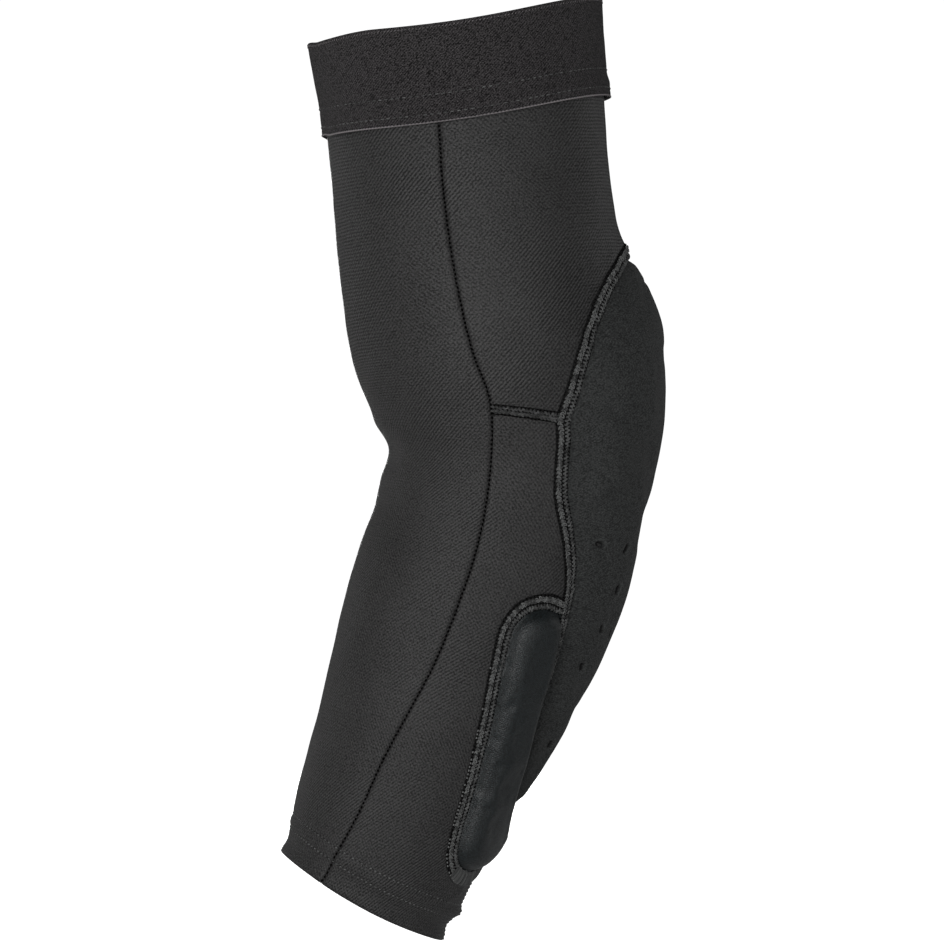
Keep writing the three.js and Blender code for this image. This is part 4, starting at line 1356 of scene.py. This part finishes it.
@dataclass
class KnitPanels:
    """The four knitted panels of the sleeve."""

    thickness: float = 1.2
    pitch: float = 1.5
    seam_gap: float = 0.3  # each panel's edge from the front seam's middle
    under_seam: float = 0.7  # how far panels stop short of a flatlock's middle

    def lattice(self, pattern: Pattern, across: Array, gap: float, spread: Field) -> Sheet:
        """A lattice from the hem to the cuff and from one front seam to the other.

        Args:
            pattern: the guard's lines.
            across: share of the way across, for each column.
            gap: the lattice's edge from the front seam's middle, to the front.
            spread: phi from the edge's angle and the share.
        """
        rows = int((pattern.sleeve_top - pattern.hem_mean) / self.pitch) + 1
        s, t = np.meshgrid(across, np.linspace(0, 1, rows))
        u = pattern.hem_mean + t * (pattern.sleeve_top - pattern.hem_mean)
        for _ in range(4):
            edge = pattern.front_angle(u.ravel()).reshape(u.shape) + gap / MM_PER_DEGREE
            phi = spread(edge, s)
            u = pattern.hem(phi) + t * (pattern.sleeve_top - pattern.hem(phi))
        return Sheet.lattice(phi, u)

    def front(self, shape: ArmShape, pattern: Pattern) -> None:
        """The front panel, from the outer front seam to the inner one."""
        sheet = self.lattice(pattern, np.linspace(0, 1, 86), self.seam_gap,
                             lambda edge, s: edge + s * (360 - 2 * edge))
        self.make("front_panel", shape, sheet, Motion.BENDS, (0.104, 0.262),
                  ["front_panel_upper", "front_panel_crook", "front_panel_lower"], 0.026)

    def back_lattice(self, pattern: Pattern) -> Sheet:
        """A lattice from front seam to front seam round the back."""
        return self.lattice(pattern, np.linspace(-1, 1, 121), -self.seam_gap,
                            lambda edge, s: edge * s)

    def upper_back(self, shape: ArmShape, pattern: Pattern) -> None:
        """The panel over the back of the upper arm, above the pad and cross seams."""
        def clear(phi: Array, u: Array) -> Array:
            """Millimetres inside the panel's cut."""
            above = u - pattern.cross(phi) - self.under_seam
            over = pattern.beside_pads(phi, u) - self.under_seam
            return np.minimum(np.where(np.abs(phi) > 50, above, u - 20), over)

        sheet = self.back_lattice(pattern).trimmed(clear, self.pitch)
        self.make("back_panel_upper", shape, sheet, Motion.BENDS, (0.138, 0.104),
                  ["back_panel_upper"], 0.0118)

    def side(self, shape: ArmShape, pattern: Pattern, side: Side) -> None:
        """The panel beside the elbow pad, down the forearm to the hem."""
        def clear(phi: Array, u: Array) -> Array:
            """Millimetres inside the panel's cut."""
            below = pattern.cross(phi) - u - self.under_seam
            beside = pattern.beside_pads(phi, u) - self.under_seam
            own = phi * side.value * MM_PER_DEGREE + 0.15
            return np.minimum(np.minimum(below, beside), own)

        sheet = self.back_lattice(pattern).trimmed(clear, self.pitch)
        nodes = [f"side_panel_{side.label}", f"side_panel_elbow_{side.label}"]
        area = 0.0064 if side is Side.OUTER else 0.0078
        self.make(f"side_panel_{side.label}", shape, sheet, Motion.BENDS, (0.082, 0.170),
                  nodes, area)

    def make(self, name: str, shape: ArmShape, sheet: Sheet, motion: Motion,
             flat: tuple[float, float], nodes: Sequence[str], area: float) -> None:
        """Args:
            name: the panel's name.
            shape: the worn sleeve.
            sheet: its patch.
            motion: how it follows the arm.
            flat: width and length of its cut, in metres; not used.
            nodes: CAD nodes it stands for.
            area: area of its cut in square metres; not used.
        """
        mesher = Mesher()
        edge_on = ramp(np.abs(np.cos(np.radians(sheet.phi))), 0.55, 0.95)
        round_ = 0.65 * edge_on * ramp(sheet.u, 0, 40)
        mesher.shell(shape, sheet, 0.0, -self.thickness, tint=round_, nose=0.08)
        piece = dress(mesher, name, KNIT, motion, "knit", *nodes)


# ---- Pads ------------------------------------------------------------------


@dataclass
class Drape:
    """Settles a pad's cover over its foam with a short cloth simulation."""

    pitch: float = 3.0
    pressure: float = 4.0
    slack: float = 0.02  # how much larger the cover is cut than the foam
    frames: int = 20
    cap: float = 2.0  # furthest a point may move, in millimetres

    def run(self, shape: ArmShape, outline: Field, low: Array, high: Array,
            rise: Field) -> Callable[[Array, Array], Array]:
        """Simulates the cover and returns its movement at any place.

        Args:
            shape: the worn sleeve.
            outline: distance inside the cover's edge.
            low: lowest corner of the cover on the flat plan.
            high: highest corner.
            rise: height of the cover before it settles.

        Returns:
            A function of phi and u that gives the movement in millimetres.
        """
        across = np.arange(low[0], high[0] + self.pitch, self.pitch)
        up = np.arange(low[1], high[1] + self.pitch, self.pitch)
        x, y = np.meshgrid(across, up)
        phi, u = (x / MM_PER_DEGREE).ravel(), y.ravel()
        moved = np.zeros((len(up), len(across), 3))
        faces = grid_faces(len(up), len(across))
        held = outline(phi, u) > 0
        faces = faces[held[faces].all(1)]
        used = np.unique(faces)
        index = np.full(len(phi), -1)
        index[used] = np.arange(len(used))
        start = shape.place(phi[used], u[used], rise(phi[used], u[used]))
        rim = np.unique(Sheet(phi[used], u[used], index[faces]).borders())
        shift = self.simulate(start, index[faces], rim) - start
        size = np.linalg.norm(shift, axis=1, keepdims=True)
        shift *= np.minimum(1, self.cap / np.maximum(size, 1e-6))
        moved.reshape(-1, 3)[used] = shift

        def movement(at_phi: Array, at_u: Array) -> Array:
            """The settled cover's movement, on a smooth surface through its lattice."""
            column = (at_phi * MM_PER_DEGREE - across[0]) / self.pitch
            column = np.clip(column, 1, len(across) - 2.01)
            row = np.clip((at_u - up[0]) / self.pitch, 1, len(up) - 2.01)
            i, j = row.astype(int), column.astype(int)
            wr, wc = cubic_weights(row - i), cubic_weights(column - j)
            total = np.zeros((len(at_phi), 3))
            for a in range(4):
                for b in range(4):
                    near = moved[np.clip(i + a - 1, 0, len(up) - 1),
                                 np.clip(j + b - 1, 0, len(across) - 1)]
                    total += near * (wr[a] * wc[b])[:, None]
            return total

        return movement

    def simulate(self, start: Array, faces: Array, rim: Array) -> Array:
        """Runs the cloth with its rim held and returns where its points end up."""
        mesh = bpy.data.meshes.new("cover_drape")
        mesh.from_pydata((start * MM).tolist(), [], faces.tolist())
        cloth = linked("cover_drape", mesh)
        pins = cloth.vertex_groups.new(name="rim")
        pins.add(rim.tolist(), 1.0, "REPLACE")
        modifier = cloth.modifiers.new("Cloth", "CLOTH")
        settings = modifier.settings
        settings.quality = 6
        settings.mass = 0.2
        settings.vertex_group_mass = "rim"
        settings.use_pressure = True
        settings.uniform_pressure_force = self.pressure
        settings.shrink_min = -self.slack
        settings.effector_weights.gravity = 0
        settings.bending_stiffness = 4.0
        settings.tension_stiffness = 20
        settings.compression_stiffness = 20
        modifier.point_cache.frame_start = 1
        modifier.point_cache.frame_end = self.frames
        scene = bpy.context.scene
        for number in range(1, self.frames + 1):
            scene.frame_set(number)
        graph = bpy.context.evaluated_depsgraph_get()
        settled = cloth.evaluated_get(graph).data
        points = np.zeros(len(settled.vertices) * 3)
        settled.vertices.foreach_get("co", points)
        bpy.data.objects.remove(cloth)
        bpy.data.meshes.remove(mesh)
        scene.frame_set(1)
        return points.reshape(-1, 3) / MM


PAD_PARTS = ("upper", "elbow", "lower")


class Pad:
    """What the two pads share: patches of their outline and the layers in them."""

    low: tuple[float, float]
    high: tuple[float, float]
    cover: float = 1.2

    def room(self, pattern: Pattern, phi: Array, u: Array) -> Array:
        """Distance inside the pad's own outline."""
        raise NotImplementedError

    def rise(self, pattern: Pattern, phi: Array, u: Array) -> Array:
        """Height of the cover over the sleeve."""
        raise NotImplementedError

    def lattice(self, pattern: Pattern, pitch: float, inset: float) -> Sheet:
        """A patch inside the pad's outline."""
        x, y = np.meshgrid(*(np.arange(a, b + 0.1, pitch) for a, b in zip(self.low, self.high)))
        sheet = Sheet.lattice(x / MM_PER_DEGREE, y)
        return sheet.trimmed(lambda phi, u: self.room(pattern, phi, u) - inset, pitch)

    def settled(self, shape: ArmShape, pattern: Pattern, drape: Drape) -> Field:
        """The cover's movement in its simulation, by place."""
        return drape.run(
            shape, lambda phi, u: self.room(pattern, phi, u) - 1.0,
            np.array(self.low) - (0, 1), np.array(self.high) + (0, 1),
            lambda phi, u: self.rise(pattern, phi, u))

    def foam(self, shape: ArmShape, pattern: Pattern, pitch: float, inset: float,
             gap: float) -> Mesher:
        """The foam, a gap below the cover."""
        mesher = Mesher()
        sheet = self.lattice(pattern, pitch, inset)
        top = self.rise(pattern, sheet.phi, sheet.u) - self.cover - gap
        mesher.shell(shape, sheet, np.maximum(top, -0.1), -0.6)
        return mesher

    def lining(self, shape: ArmShape, pattern: Pattern) -> Mesher:
        """The cloth that holds the foam from inside."""
        mesher = Mesher()
        mesher.shell(shape, self.lattice(pattern, 2.0, 0.8), -1.0, -1.7)
        return mesher


@dataclass
class ElbowPad(Pad):
    """The domed pad over the elbow: cover, foam, pocket lining and seam."""

    low: tuple[float, float] = (-45, -116)  # corners of the pad's box on the flat plan
    high: tuple[float, float] = (45, 67)
    thickness: float = 11.2
    tip_thickness: float = 9.4
    slope: float = 25.0
    seam_half: float = 1.9
    pitch: float = 0.5
    bump: float = 0.9  # extra height over the point of the elbow
    slots: Sequence[Sequence[float]] = (  # phi, u and tilt of the punched slots on one side
        (32, -20.5, -72), (19.5, -20, 5), (15, -31.5, -4), (13, -43.5, -8), (13, -57.5, -12),
        (2.5, -71.5, 0), (5, -86, -6), (6.5, -20, 0), (4.5, -43.5, 0),
    )
    creases: Sequence[Crease] = (
        Crease((7, 61.5), (18, 49), 0.45, 0.8),
        Crease((13, 60.5), (25, 48), 0.4, 0.75),
        Crease((19, 58), (30, 46.5), 0.35, 0.8),
        Crease((1, 62), (8, 47), 0.4, 0.8),
        Crease((-8, 61.5), (-15, 48), 0.35, 0.8),
        Crease((-19, 58), (-28, 45), 0.3, 0.9),
        Crease((47, 27), (34, 21), -0.3, 0.9),
        Crease((54, 5), (38, 1), -0.18, 1.2),
        Crease((41, -22), (30, -18), 0.25, 1.2),
        Crease((35, -34), (26, -27), 0.2, 1.3),
        Crease((22, 40), (20, 12), 0.35, 1.6),
        Crease((20, -97), (8, -93), 0.3, 1.4),
    )

    def room(self, pattern: Pattern, phi: Array, u: Array) -> Array:
        """Distance inside the elbow pad's outline."""
        return pattern.pad.depth(phi, u)

    def rise(self, pattern: Pattern, phi: Array, u: Array) -> Array:
        """Height of the cover over the sleeve."""
        depth = np.maximum(pattern.pad.depth(phi, u) - self.seam_half, 0)
        reach = np.clip(depth / self.slope, 0, 1)
        thick = self.tip_thickness + (self.thickness - self.tip_thickness) * ramp(u, -100, -45)
        swell = (1 - (1 - reach) ** 2) ** 0.9
        point = self.bump * bell(u - 28, 22) * bell(phi * MM_PER_DEGREE, 22)
        return 0.5 * ramp(depth, 0, 2) + (thick + point) * swell

    def build(self, shape: ArmShape, pattern: Pattern) -> None:
        """Makes the pad's four layers."""
        self.make_cover(shape, pattern)
        piece = dress(self.foam(shape, pattern, 2.5, 2.6, 0.5), "elbow_pad_core", FOAM,
                      Motion.BENDS, "foam", *[f"elbow_pad_core_{n}" for n in PAD_PARTS])
        piece = dress(self.lining(shape, pattern), "pad_pocket_lining", LINING,
                      Motion.BENDS, "lining", *[f"pad_pocket_lining_{n}" for n in PAD_PARTS])
        seam = FlatlockSeam("pad_seam", pattern.pad_line, offset=1.1, seed=5)
        seam.build(shape, Motion.BENDS, [
            "pad_seam_upper", "pad_seam_elbow_outer", "pad_seam_elbow_inner", "pad_seam_lower"])

    def make_cover(self, shape: ArmShape, pattern: Pattern) -> None:
        """Makes the cover: settled by simulation, then creased and punched."""
        movement = self.settled(shape, pattern, Drape(slack=0.008, pressure=3.0, cap=0.6))
        sheet = self.lattice(pattern, self.pitch, 0.9)
        high = self.rise(pattern, sheet.phi, sheet.u)
        for crease in self.creases:
            high = high + crease.rise(sheet.phi, sheet.u)
        points = shape.skin(sheet.phi, sheet.u)
        depth = pattern.pad.depth(sheet.phi, sheet.u)
        pucker = bell(depth - 4.0, 4.0) * swells(points, 7.0, 21)
        high = high + 0.16 * pucker + 0.15 * swells(points, 22, 22)
        # The slots' tint is painted shade in each slot and a painted highlight on one rim.
        dent, tint = self.punch(sheet)
        mesher = Mesher()
        mesher.shell(shape, sheet, high - dent, high - self.cover - dent * 0.2,
                     movement(sheet.phi, sheet.u), tint)
        piece = dress(mesher, "elbow_pad_cover", PAD_CLOTH, Motion.BENDS, "pad_cover",
                      *[f"elbow_pad_cover_{n}" for n in PAD_PARTS])

    def punch(self, sheet: Sheet) -> tuple[Array, Array]:
        """Depth of the punched slots at each place, and a tint with near-black painted shade in
        each slot and a painted highlight along one rim.
        """
        dent = np.zeros(len(sheet.phi))
        shade = np.full(len(sheet.phi), 0.5)
        for phi, u, tilt in self.slots:
            for sign in (1, -1):
                across = (sheet.phi * sign - phi) * MM_PER_DEGREE
                up = sheet.u - u
                turn = math.radians(tilt)
                aside = across * math.cos(turn) + up * math.sin(turn)
                length = up * math.cos(turn) - across * math.sin(turn)
                far = np.hypot(aside, np.maximum(np.abs(length) - 0.75, 0)) / 0.55
                dent += 1.05 * (1 - ramp(far, 0.6, 1.9))
                # Painted shade: the slot's hollow is tinted near black.
                shade -= 0.6 * (1 - ramp(far, 0.9, 1.6))
                # Painted highlight: a paler rim on one side of the slot, where light falls on it.
                shade += 0.3 * bell(far - 2.4, 0.6) * (aside < 0)
        return dent, shade


@dataclass
class SidePad(Pad):
    """The slim pad down the outer forearm."""

    low: tuple[float, float] = (-9, -141)
    high: tuple[float, float] = (52, -37)
    thickness: float = 4.6
    slope: float = 8.0
    back_slope: float = 4.5
    seam_half: float = 3.9
    pitch: float = 0.8

    def room(self, pattern: Pattern, phi: Array, u: Array) -> Array:
        """Distance inside the side pad's own outline."""
        return np.minimum(pattern.side_pad.depth(phi, u), -pattern.pad.depth(phi, u))

    def rise(self, pattern: Pattern, phi: Array, u: Array) -> Array:
        """Height of the cover over the sleeve."""
        border = np.maximum(pattern.side_pad.depth(phi, u) - self.seam_half, 0) / self.slope
        beside = np.maximum(-pattern.pad.depth(phi, u) - self.seam_half, 0) / self.back_slope
        reach = np.clip(np.minimum(border, beside), 0, 1)
        depth = reach * self.back_slope
        return 0.4 * ramp(depth, 0, 1.5) + self.thickness * (1 - (1 - reach) ** 2) ** 0.75

    def build(self, shape: ArmShape, pattern: Pattern) -> None:
        """Makes the pad's cover, foam, lining and border seam."""
        drape = Drape(pitch=2.5, slack=0.004, pressure=3.0, cap=0.35)
        movement = self.settled(shape, pattern, drape)
        sheet = self.lattice(pattern, self.pitch, 0.9)
        high = self.rise(pattern, sheet.phi, sheet.u)
        points = shape.skin(sheet.phi, sheet.u)
        room = self.room(pattern, sheet.phi, sheet.u)
        high = high + 0.12 * bell(room - 3, 3) * swells(points, 6, 41)
        high = high + 0.12 * swells(points, 19, 42)
        mesher = Mesher()
        mesher.shell(shape, sheet, high, high - self.cover, movement(sheet.phi, sheet.u))
        piece = dress(mesher, "side_pad_cover", SIDE_CLOTH, Motion.BENDS, "side_cover",
                      "side_pad_cover")
        piece = dress(self.foam(shape, pattern, 1.8, 4.6, 0.4), "side_pad_foam", FOAM,
                      Motion.BENDS, "foam", "side_pad_foam")
        piece = dress(self.lining(shape, pattern), "side_pad_lining", LINING, Motion.BENDS,
                      "lining", "side_pad_lining")
        seam = FlatlockSeam("side_pad_seam", pattern.border_line, width=5.6, offset=-1.2, seed=9,
                            knots=0.75, bars=(9.9, 13.2))
        seam.build(shape, Motion.BENDS, ["side_pad_seam"])


# ---- Cuff and hem ----------------------------------------------------------


def ring_angles(count: int) -> Array:
    """Angles all round the arm."""
    return np.arange(count) * 360 / count


def ring_band(shape: ArmShape, edge: Field, profile: Sequence[Sequence[float]],
              count: int = 288, lift: Optional[Field] = None,
              squeeze: Optional[Field] = None) -> Mesher:
    """A closed band round the arm with the given section.

    Args:
        shape: the worn sleeve.
        edge: u of the band's lower edge at each phi.
        profile: height above the edge and height over the sleeve, going up
            the outer face and down the inner one.
        count: number of steps round the arm.
        lift: extra outward height by phi and height above the edge.
        squeeze: height above the edge as worn, by phi and height as cut.

    Returns:
        The collected mesh.
    """
    section = np.array(profile, float)
    phi, k = np.meshgrid(ring_angles(count), np.arange(len(section)))
    phi, above, h = phi.ravel(), section[k.ravel(), 0], section[k.ravel(), 1]
    if lift is not None:
        h = h + lift(phi, above)
    u = edge(phi) + (above if squeeze is None else squeeze(phi, above))
    rows = len(section)
    faces = grid_faces(rows + 1, count, closed=True) % (rows * count)
    mesher = Mesher()
    uv = np.stack([phi * MM_PER_DEGREE, u], 1)
    mesher.add(shape.place(phi, u, h), faces, uv)
    return mesher


@dataclass
class Cuff:
    """The wide elastic band at the top, with its threads and silicone lines."""

    low: float = 117.9
    low_tilt: float = 1.7
    top: float = 151.0
    sag: float = 3.2  # how far the lower edge hangs at the arm's two sides
    top_sag: float = 4.0
    corner_drop: float = 1.7  # how far the top edge drops at the front
    standoff: float = 0.35
    thickness: float = 1.2
    stitch_rows: Sequence[float] = (2.6, 9.0)
    beads: Sequence[float] = (15.0, 21.5, 28.0)
    shape: ArmShape = field(init=False)

    def edge(self, phi: Array, _: Array = 0.0) -> Array:
        """u of the band's lower edge."""
        turn = np.radians(phi)
        return (self.low + self.low_tilt * np.cos(turn) - self.sag * np.abs(np.sin(turn)) ** 3
                + 1.0 * ramp(-np.cos(turn), 0.93, 1.0))

    def sunk(self, phi: Array) -> Array:
        """How far the top edge lies below a level one, more at the front corner."""
        turn = np.radians(phi)
        sides = (self.top_sag - self.sag) * np.abs(np.sin(turn)) ** 3
        return sides + self.corner_drop * ramp(-np.cos(turn), 0.55, 1.0)

    def lift(self, phi: Array, above: Array) -> Array:
        """Bulge over the stitched part, and shallow dents at the stitch rows."""
        back = 0.5 + 0.5 * np.cos(np.radians(phi))
        bulge = (0.05 + 0.65 * back**3) * (1 - ramp(above, 4.5, 8.0))
        rows = sum(bell(above - row, 0.7) for row in self.stitch_rows)
        points = self.shape.skin(phi, self.edge(phi) + above)
        return bulge - 0.16 * rows + 0.16 * swells(points, 30, 51) + 0.05 * swells(points, 9, 52)

    def build(self, shape: ArmShape) -> None:
        """Makes the band and everything sewn or printed on it."""
        self.shape = shape
        height = self.top - self.low
        face = self.standoff + self.thickness
        outer = [(a, face) for a in np.linspace(0.5, height - 1.2, 44)]
        inner = [(a, self.standoff) for a in np.linspace(height - 0.6, 0.4, 30)]
        roll = [(height - 0.85, face + 0.05), (height - 0.45, face + 0.12),
                (height - 0.05, face - 0.25), (height, self.standoff + 0.5),
                (height - 0.15, self.standoff + 0.12)]
        nose = [(0.1, self.standoff + 0.2), (0.0, face - 0.5), (0.12, face - 0.15)]

        def dipped(phi: Array, above: Array) -> Array:
            """Height above the lower edge as worn."""
            return above * (1 - self.sunk(phi) / height)

        mesher = ring_band(shape, self.edge, outer + roll + inner + nose, lift=self.lift,
                           squeeze=dipped)
        piece = dress(mesher, "cuff_band", CUFF_KNIT, Motion.UPPER_ARM, "cuff_knit",
                      "cuff_elastic_band")
        self.edge_threads(shape, face, height)
        self.stitches(shape, face)
        for number, rise in enumerate(self.beads, 1):
            bead = silicone_line(shape, lambda phi, r=rise: self.edge(phi) + r,
                                 self.standoff - 0.05, number)
            dress(bead, f"cuff_silicone_line_{number}", SILICONE, Motion.UPPER_ARM, "silicone",
                  f"cuff_grip_bead_{number}")

    def ring_path(self, shape: ArmShape, above: Array, h: Array, count: int) -> tuple[Array, Array]:
        """Points and outward directions round the band."""
        phi = ring_angles(count)
        above = np.broadcast_to(above, (count,)).astype(float)
        u = self.edge(phi) + above
        lifted = np.broadcast_to(h, (count,)) + self.lift(phi, above)
        return shape.place(phi, u, lifted), shape.normals(phi, u)

    def edge_threads(self, shape: ArmShape, face: float, height: float) -> None:
        """The pale thread under the band and the toothed one at its top."""
        count = 1400
        wave = np.sin(np.arange(count) * 2 * math.pi * 240 / count)
        path, normal = self.ring_path(shape, -0.1 + 0.06 * wave, face - 0.05, count)
        cord = Mesher()
        tint = 0.6 + 0.3 * np.sin(np.arange(count) * 0.013) + 0.25 * wave
        cord.tube(path, normal, 0.27 + 0.03 * wave, sides=6, closed=True, tint=tint)
        dress(cord, "cuff_edge_cord", PALE_THREAD, Motion.UPPER_ARM, "pale_thread",
              "cuff_edge_thread")
        teeth = Mesher()
        teeth_count = 250
        sunk = self.sunk(ring_angles(teeth_count))
        points, normal = self.ring_path(shape, height - 1.15 - sunk, face + 0.08, teeth_count)
        along = tangents(points)
        lean = unit(along * 0.8 + np.cross(normal, along) * 0.6)
        teeth.grains(points, lean, normal, 0.95, 0.24, 0.24,
                     np.random.default_rng(61).uniform(0.1, 0.6, len(points)))
        dress(teeth, "cuff_top_threads", PALE_THREAD, Motion.UPPER_ARM, "pale_thread")

    def stitches(self, shape: ArmShape, face: float) -> None:
        """The two rows of stitches that hold the band to the sleeve."""
        for rise, label in zip(self.stitch_rows, ("lower", "upper")):
            points, normal = self.ring_path(shape, rise, face + 0.13, 136)
            along = tangents(points)
            random = np.random.default_rng(int(rise * 10))
            dark = Mesher()
            # Tint of each stitch: random tone with painted glints.
            dark.grains(points, along, normal, 1.35, 0.42, 0.42,
                        random.uniform(0.3, 0.95, len(points)))
            dress(dark, f"cuff_stitches_{label}", THREAD, Motion.UPPER_ARM, "thread",
                  f"cuff_stitch_row_{label}")


def silicone_line(shape: ArmShape, middle: Callable[[Array], Array], top: float,
                  seed: int) -> Mesher:
    """A printed silicone line inside the sleeve, slightly uneven."""
    count = 240
    half = 1.4
    profile = [(-half, top), (-half * 0.96, top - 0.42), (-half * 0.6, top - 0.72),
               (0, top - 0.84), (half * 0.6, top - 0.72), (half * 0.96, top - 0.42), (half, top)]
    random = np.random.default_rng(70 + seed)
    phases = random.uniform(0, 6.28, 3)

    def edge(phi: Array) -> Array:
        """u of the line's lower edge, a little wavy."""
        turns = np.radians(phi)
        return (middle(phi) + 0.12 * np.sin(9 * turns + phases[0])
                + 0.08 * np.sin(17 * turns + phases[1]))

    return ring_band(shape, edge, profile, count)


@dataclass
class Hem:
    """The folded lower edge: tape and silicone inside, two rows of stitches outside."""

    stitch_rows: Sequence[float] = (8.6, 13.4)
    tape: Sequence[float] = (2.2, 17.5)
    beads: Sequence[float] = (5.5, 11.2)

    def build(self, shape: ArmShape, pattern: Pattern) -> None:
        """Makes the hem's stitches, tape, silicone and the short back seam."""
        low, high = self.tape
        outer = [(a, -1.25) for a in np.linspace(low, high, 20)]
        inner = [(a, -2.1) for a in np.linspace(high + 0.1, low - 0.1, 20)]
        tape = ring_band(shape, pattern.hem, outer + inner, 240)
        piece = dress(tape, "hem_tape", LINING, Motion.FOREARM, "lining", "hem_grip_tape")
        for number, rise in enumerate(self.beads, 1):
            bead = silicone_line(shape, lambda phi, r=rise: pattern.hem(phi) + r, -2.05, 9 + number)
            dress(bead, f"hem_silicone_line_{number}", SILICONE, Motion.FOREARM, "silicone",
                  f"hem_grip_bead_{number}")
        for rise, label in zip(self.stitch_rows, ("lower", "upper")):
            self.stitches(shape, pattern, rise, label)
        self.back_seam(shape, pattern)

    def stitches(self, shape: ArmShape, pattern: Pattern, rise: float, label: str) -> None:
        """One row of small stitches round the hem."""
        count = 118
        phi = ring_angles(count)
        u = pattern.hem(phi) + rise
        points, normal = shape.place(phi, u, 0.12), shape.normals(phi, u)
        along = tangents(points)
        up = np.cross(normal, along)
        random = np.random.default_rng(int(rise * 10))
        mesher = Mesher()
        # Paler stitches: random tone with painted glints.
        shade = random.uniform(0.5, 1.3, count)
        mesher.grains(points, unit(along + up * 0.25), normal, 0.8, 0.42, 0.4, shade)
        # Dark grains between the stitches: painted shade of the needle holes.
        mesher.grains(points + along * 0.8 - normal * 0.08, along, normal, 0.6, 0.5, 0.36,
                      np.zeros(count))
        dress(mesher, f"hem_stitches_{label}", THREAD, Motion.FOREARM, "thread",
              f"hem_stitch_row_{label}")

    def back_seam(self, shape: ArmShape, pattern: Pattern) -> None:
        """The short seam from the side pad's end to the hem, at the back."""
        low = float(pattern.hem(np.array([0.0]))[0]) + 0.4
        line = SeamLine([(0, low), (0, -152), (0, -144), (0, -134.5)])
        strip = Mesher()
        frame_ = SeamFrame.on(shape, line, 1.0)
        strip.tube(frame_.shifted(0, -0.45), frame_.normal, 0.75, sides=8, flatten=0.75, tint=0.1)
        frame_ = SeamFrame.on(shape, line, 1.4)
        strip.grains(frame_.shifted(0, 0.12), frame_.along, frame_.normal, 0.95, 0.5, 0.45,
                     np.full(len(frame_.point), 0.2))
        dress(strip, "back_seam", THREAD, Motion.FOREARM, "thread", "back_seam_lower")


# ---- Studio ----------------------------------------------------------------


@dataclass
class Studio:
    """Plain pale floor, soft lights and the camera."""

    floor_z: float = -0.215
    distance: float = 1.6
    lens: float = 179.4
    aim: Sequence[float] = (-0.0112, -0.0034)  # x and z that the camera looks at
    lights: Sequence[tuple] = (  # name, place, size, power, share of green and blue
        ("front", (-0.35, -1.6, 0.25), 0.8, 9.5, 1.0),
        ("low_left", (-1.3, -0.7, -0.16), 0.8, 4.0, 0.99),
        ("right", (1.0, -1.3, 0.1), 0.8, 3.0, 1.0),
        ("back", (-0.15, 1.7, 0.2), 0.4, 7.0, 1.0),
        ("rim_left", (-1.2, 0.9, 0.2), 0.4, 1.0, 1.0),
        ("rim_right", (0.95, 0.6, 0.25), 0.3, 0.7, 1.0),
    )

    def build(self) -> None:
        """Makes the floor, world, lights and camera."""
        scene = bpy.context.scene
        scene.view_settings.view_transform = "Standard"
        self.floor()
        self.world(scene)
        for light in self.lights:
            self.light(*light)
        camera = linked("camera", bpy.data.cameras.new("camera"))
        camera.data.lens = self.lens
        camera.data.sensor_width = 36
        camera.location = (self.aim[0], -self.distance, self.aim[1])
        camera.rotation_euler = (math.pi / 2, 0, 0)
        scene.camera = camera

    def floor(self) -> None:
        """A wide pale floor."""
        mesh = bpy.data.meshes.new("floor")
        size = 30.0
        corners = [(-size, -size), (size, -size), (size, size), (-size, size)]
        mesh.from_pydata([(x, y, self.floor_z) for x, y in corners], [], [(0, 1, 2, 3)])
        material = bpy.data.materials.new("pale_floor")
        material.use_nodes = True
        shader = material.node_tree.nodes["Principled BSDF"]
        shader.inputs["Base Color"].default_value = (0.9, 0.9, 0.9, 1)
        shader.inputs["Roughness"].default_value = 0.9
        shader.inputs["Specular IOR Level"].default_value = 0.1
        shader.inputs["Emission Color"].default_value = (1, 1, 1, 1)
        n = NodeTree(material.node_tree)
        seen = n.node("ShaderNodeLightPath", {}).outputs["Is Camera Ray"]
        n.feed(shader.inputs["Emission Strength"], seen)
        mesh.materials.append(material)
        linked("floor", mesh)

    def world(self, scene: bpy.types.Scene) -> None:
        """White behind the object, softer light on it."""
        world = bpy.data.worlds.new("studio")
        world.use_nodes = True
        scene.world = world
        n = NodeTree(world.node_tree)
        background = world.node_tree.nodes["Background"]
        background.inputs["Color"].default_value = (1, 1, 1, 1)
        seen = n.node("ShaderNodeLightPath", {}).outputs["Is Camera Ray"]
        strength = n.spread(seen, 0.0, 1.0, 0.07, 1.05)
        n.feed(background.inputs["Strength"], strength)

    def light(self, name: str, place: Sequence[float], size: float, power: float,
              warmth: float) -> None:
        """Adds a square soft light that faces the guard."""
        data = bpy.data.lights.new(name, "AREA")
        data.energy = power
        data.size = size
        data.color = (1.0, warmth, warmth)
        lamp = linked(name, data)
        lamp.location = place
        lamp.rotation_euler = (-Vector(place)).to_track_quat("-Z", "Y").to_euler()


# ---- The guard -------------------------------------------------------------


def main() -> None:
    """Builds the guard piece by piece, then the studio."""
    logging.basicConfig(level=logging.INFO, format="%(name)s: %(message)s", force=True)
    shape = ArmShape()
    pattern = Pattern()
    shape.relief = ClothRelief(ArmShape(), pattern)
    panels = KnitPanels()
    panels.front(shape, pattern)
    panels.upper_back(shape, pattern)
    for side in Side:
        panels.side(shape, pattern, side)
        FrontSeam(side).build(shape, pattern)
        cross = FlatlockSeam(f"cross_seam_{side.label}", pattern.cross_line(side), width=3.6,
                             rows=(-0.4, 0.3), shades=(0.4, 0.4), holes=(-0.85, 0.85),
                             seed=3 + side.value, dark_row=side.value)
        cross.build(shape, Motion.BENDS, [f"cross_seam_{side.label}"])
    ElbowPad().build(shape, pattern)
    SidePad().build(shape, pattern)
    Cuff().build(shape)
    Hem().build(shape, pattern)
    Studio().build()


if __name__ == "__main__":
    main()
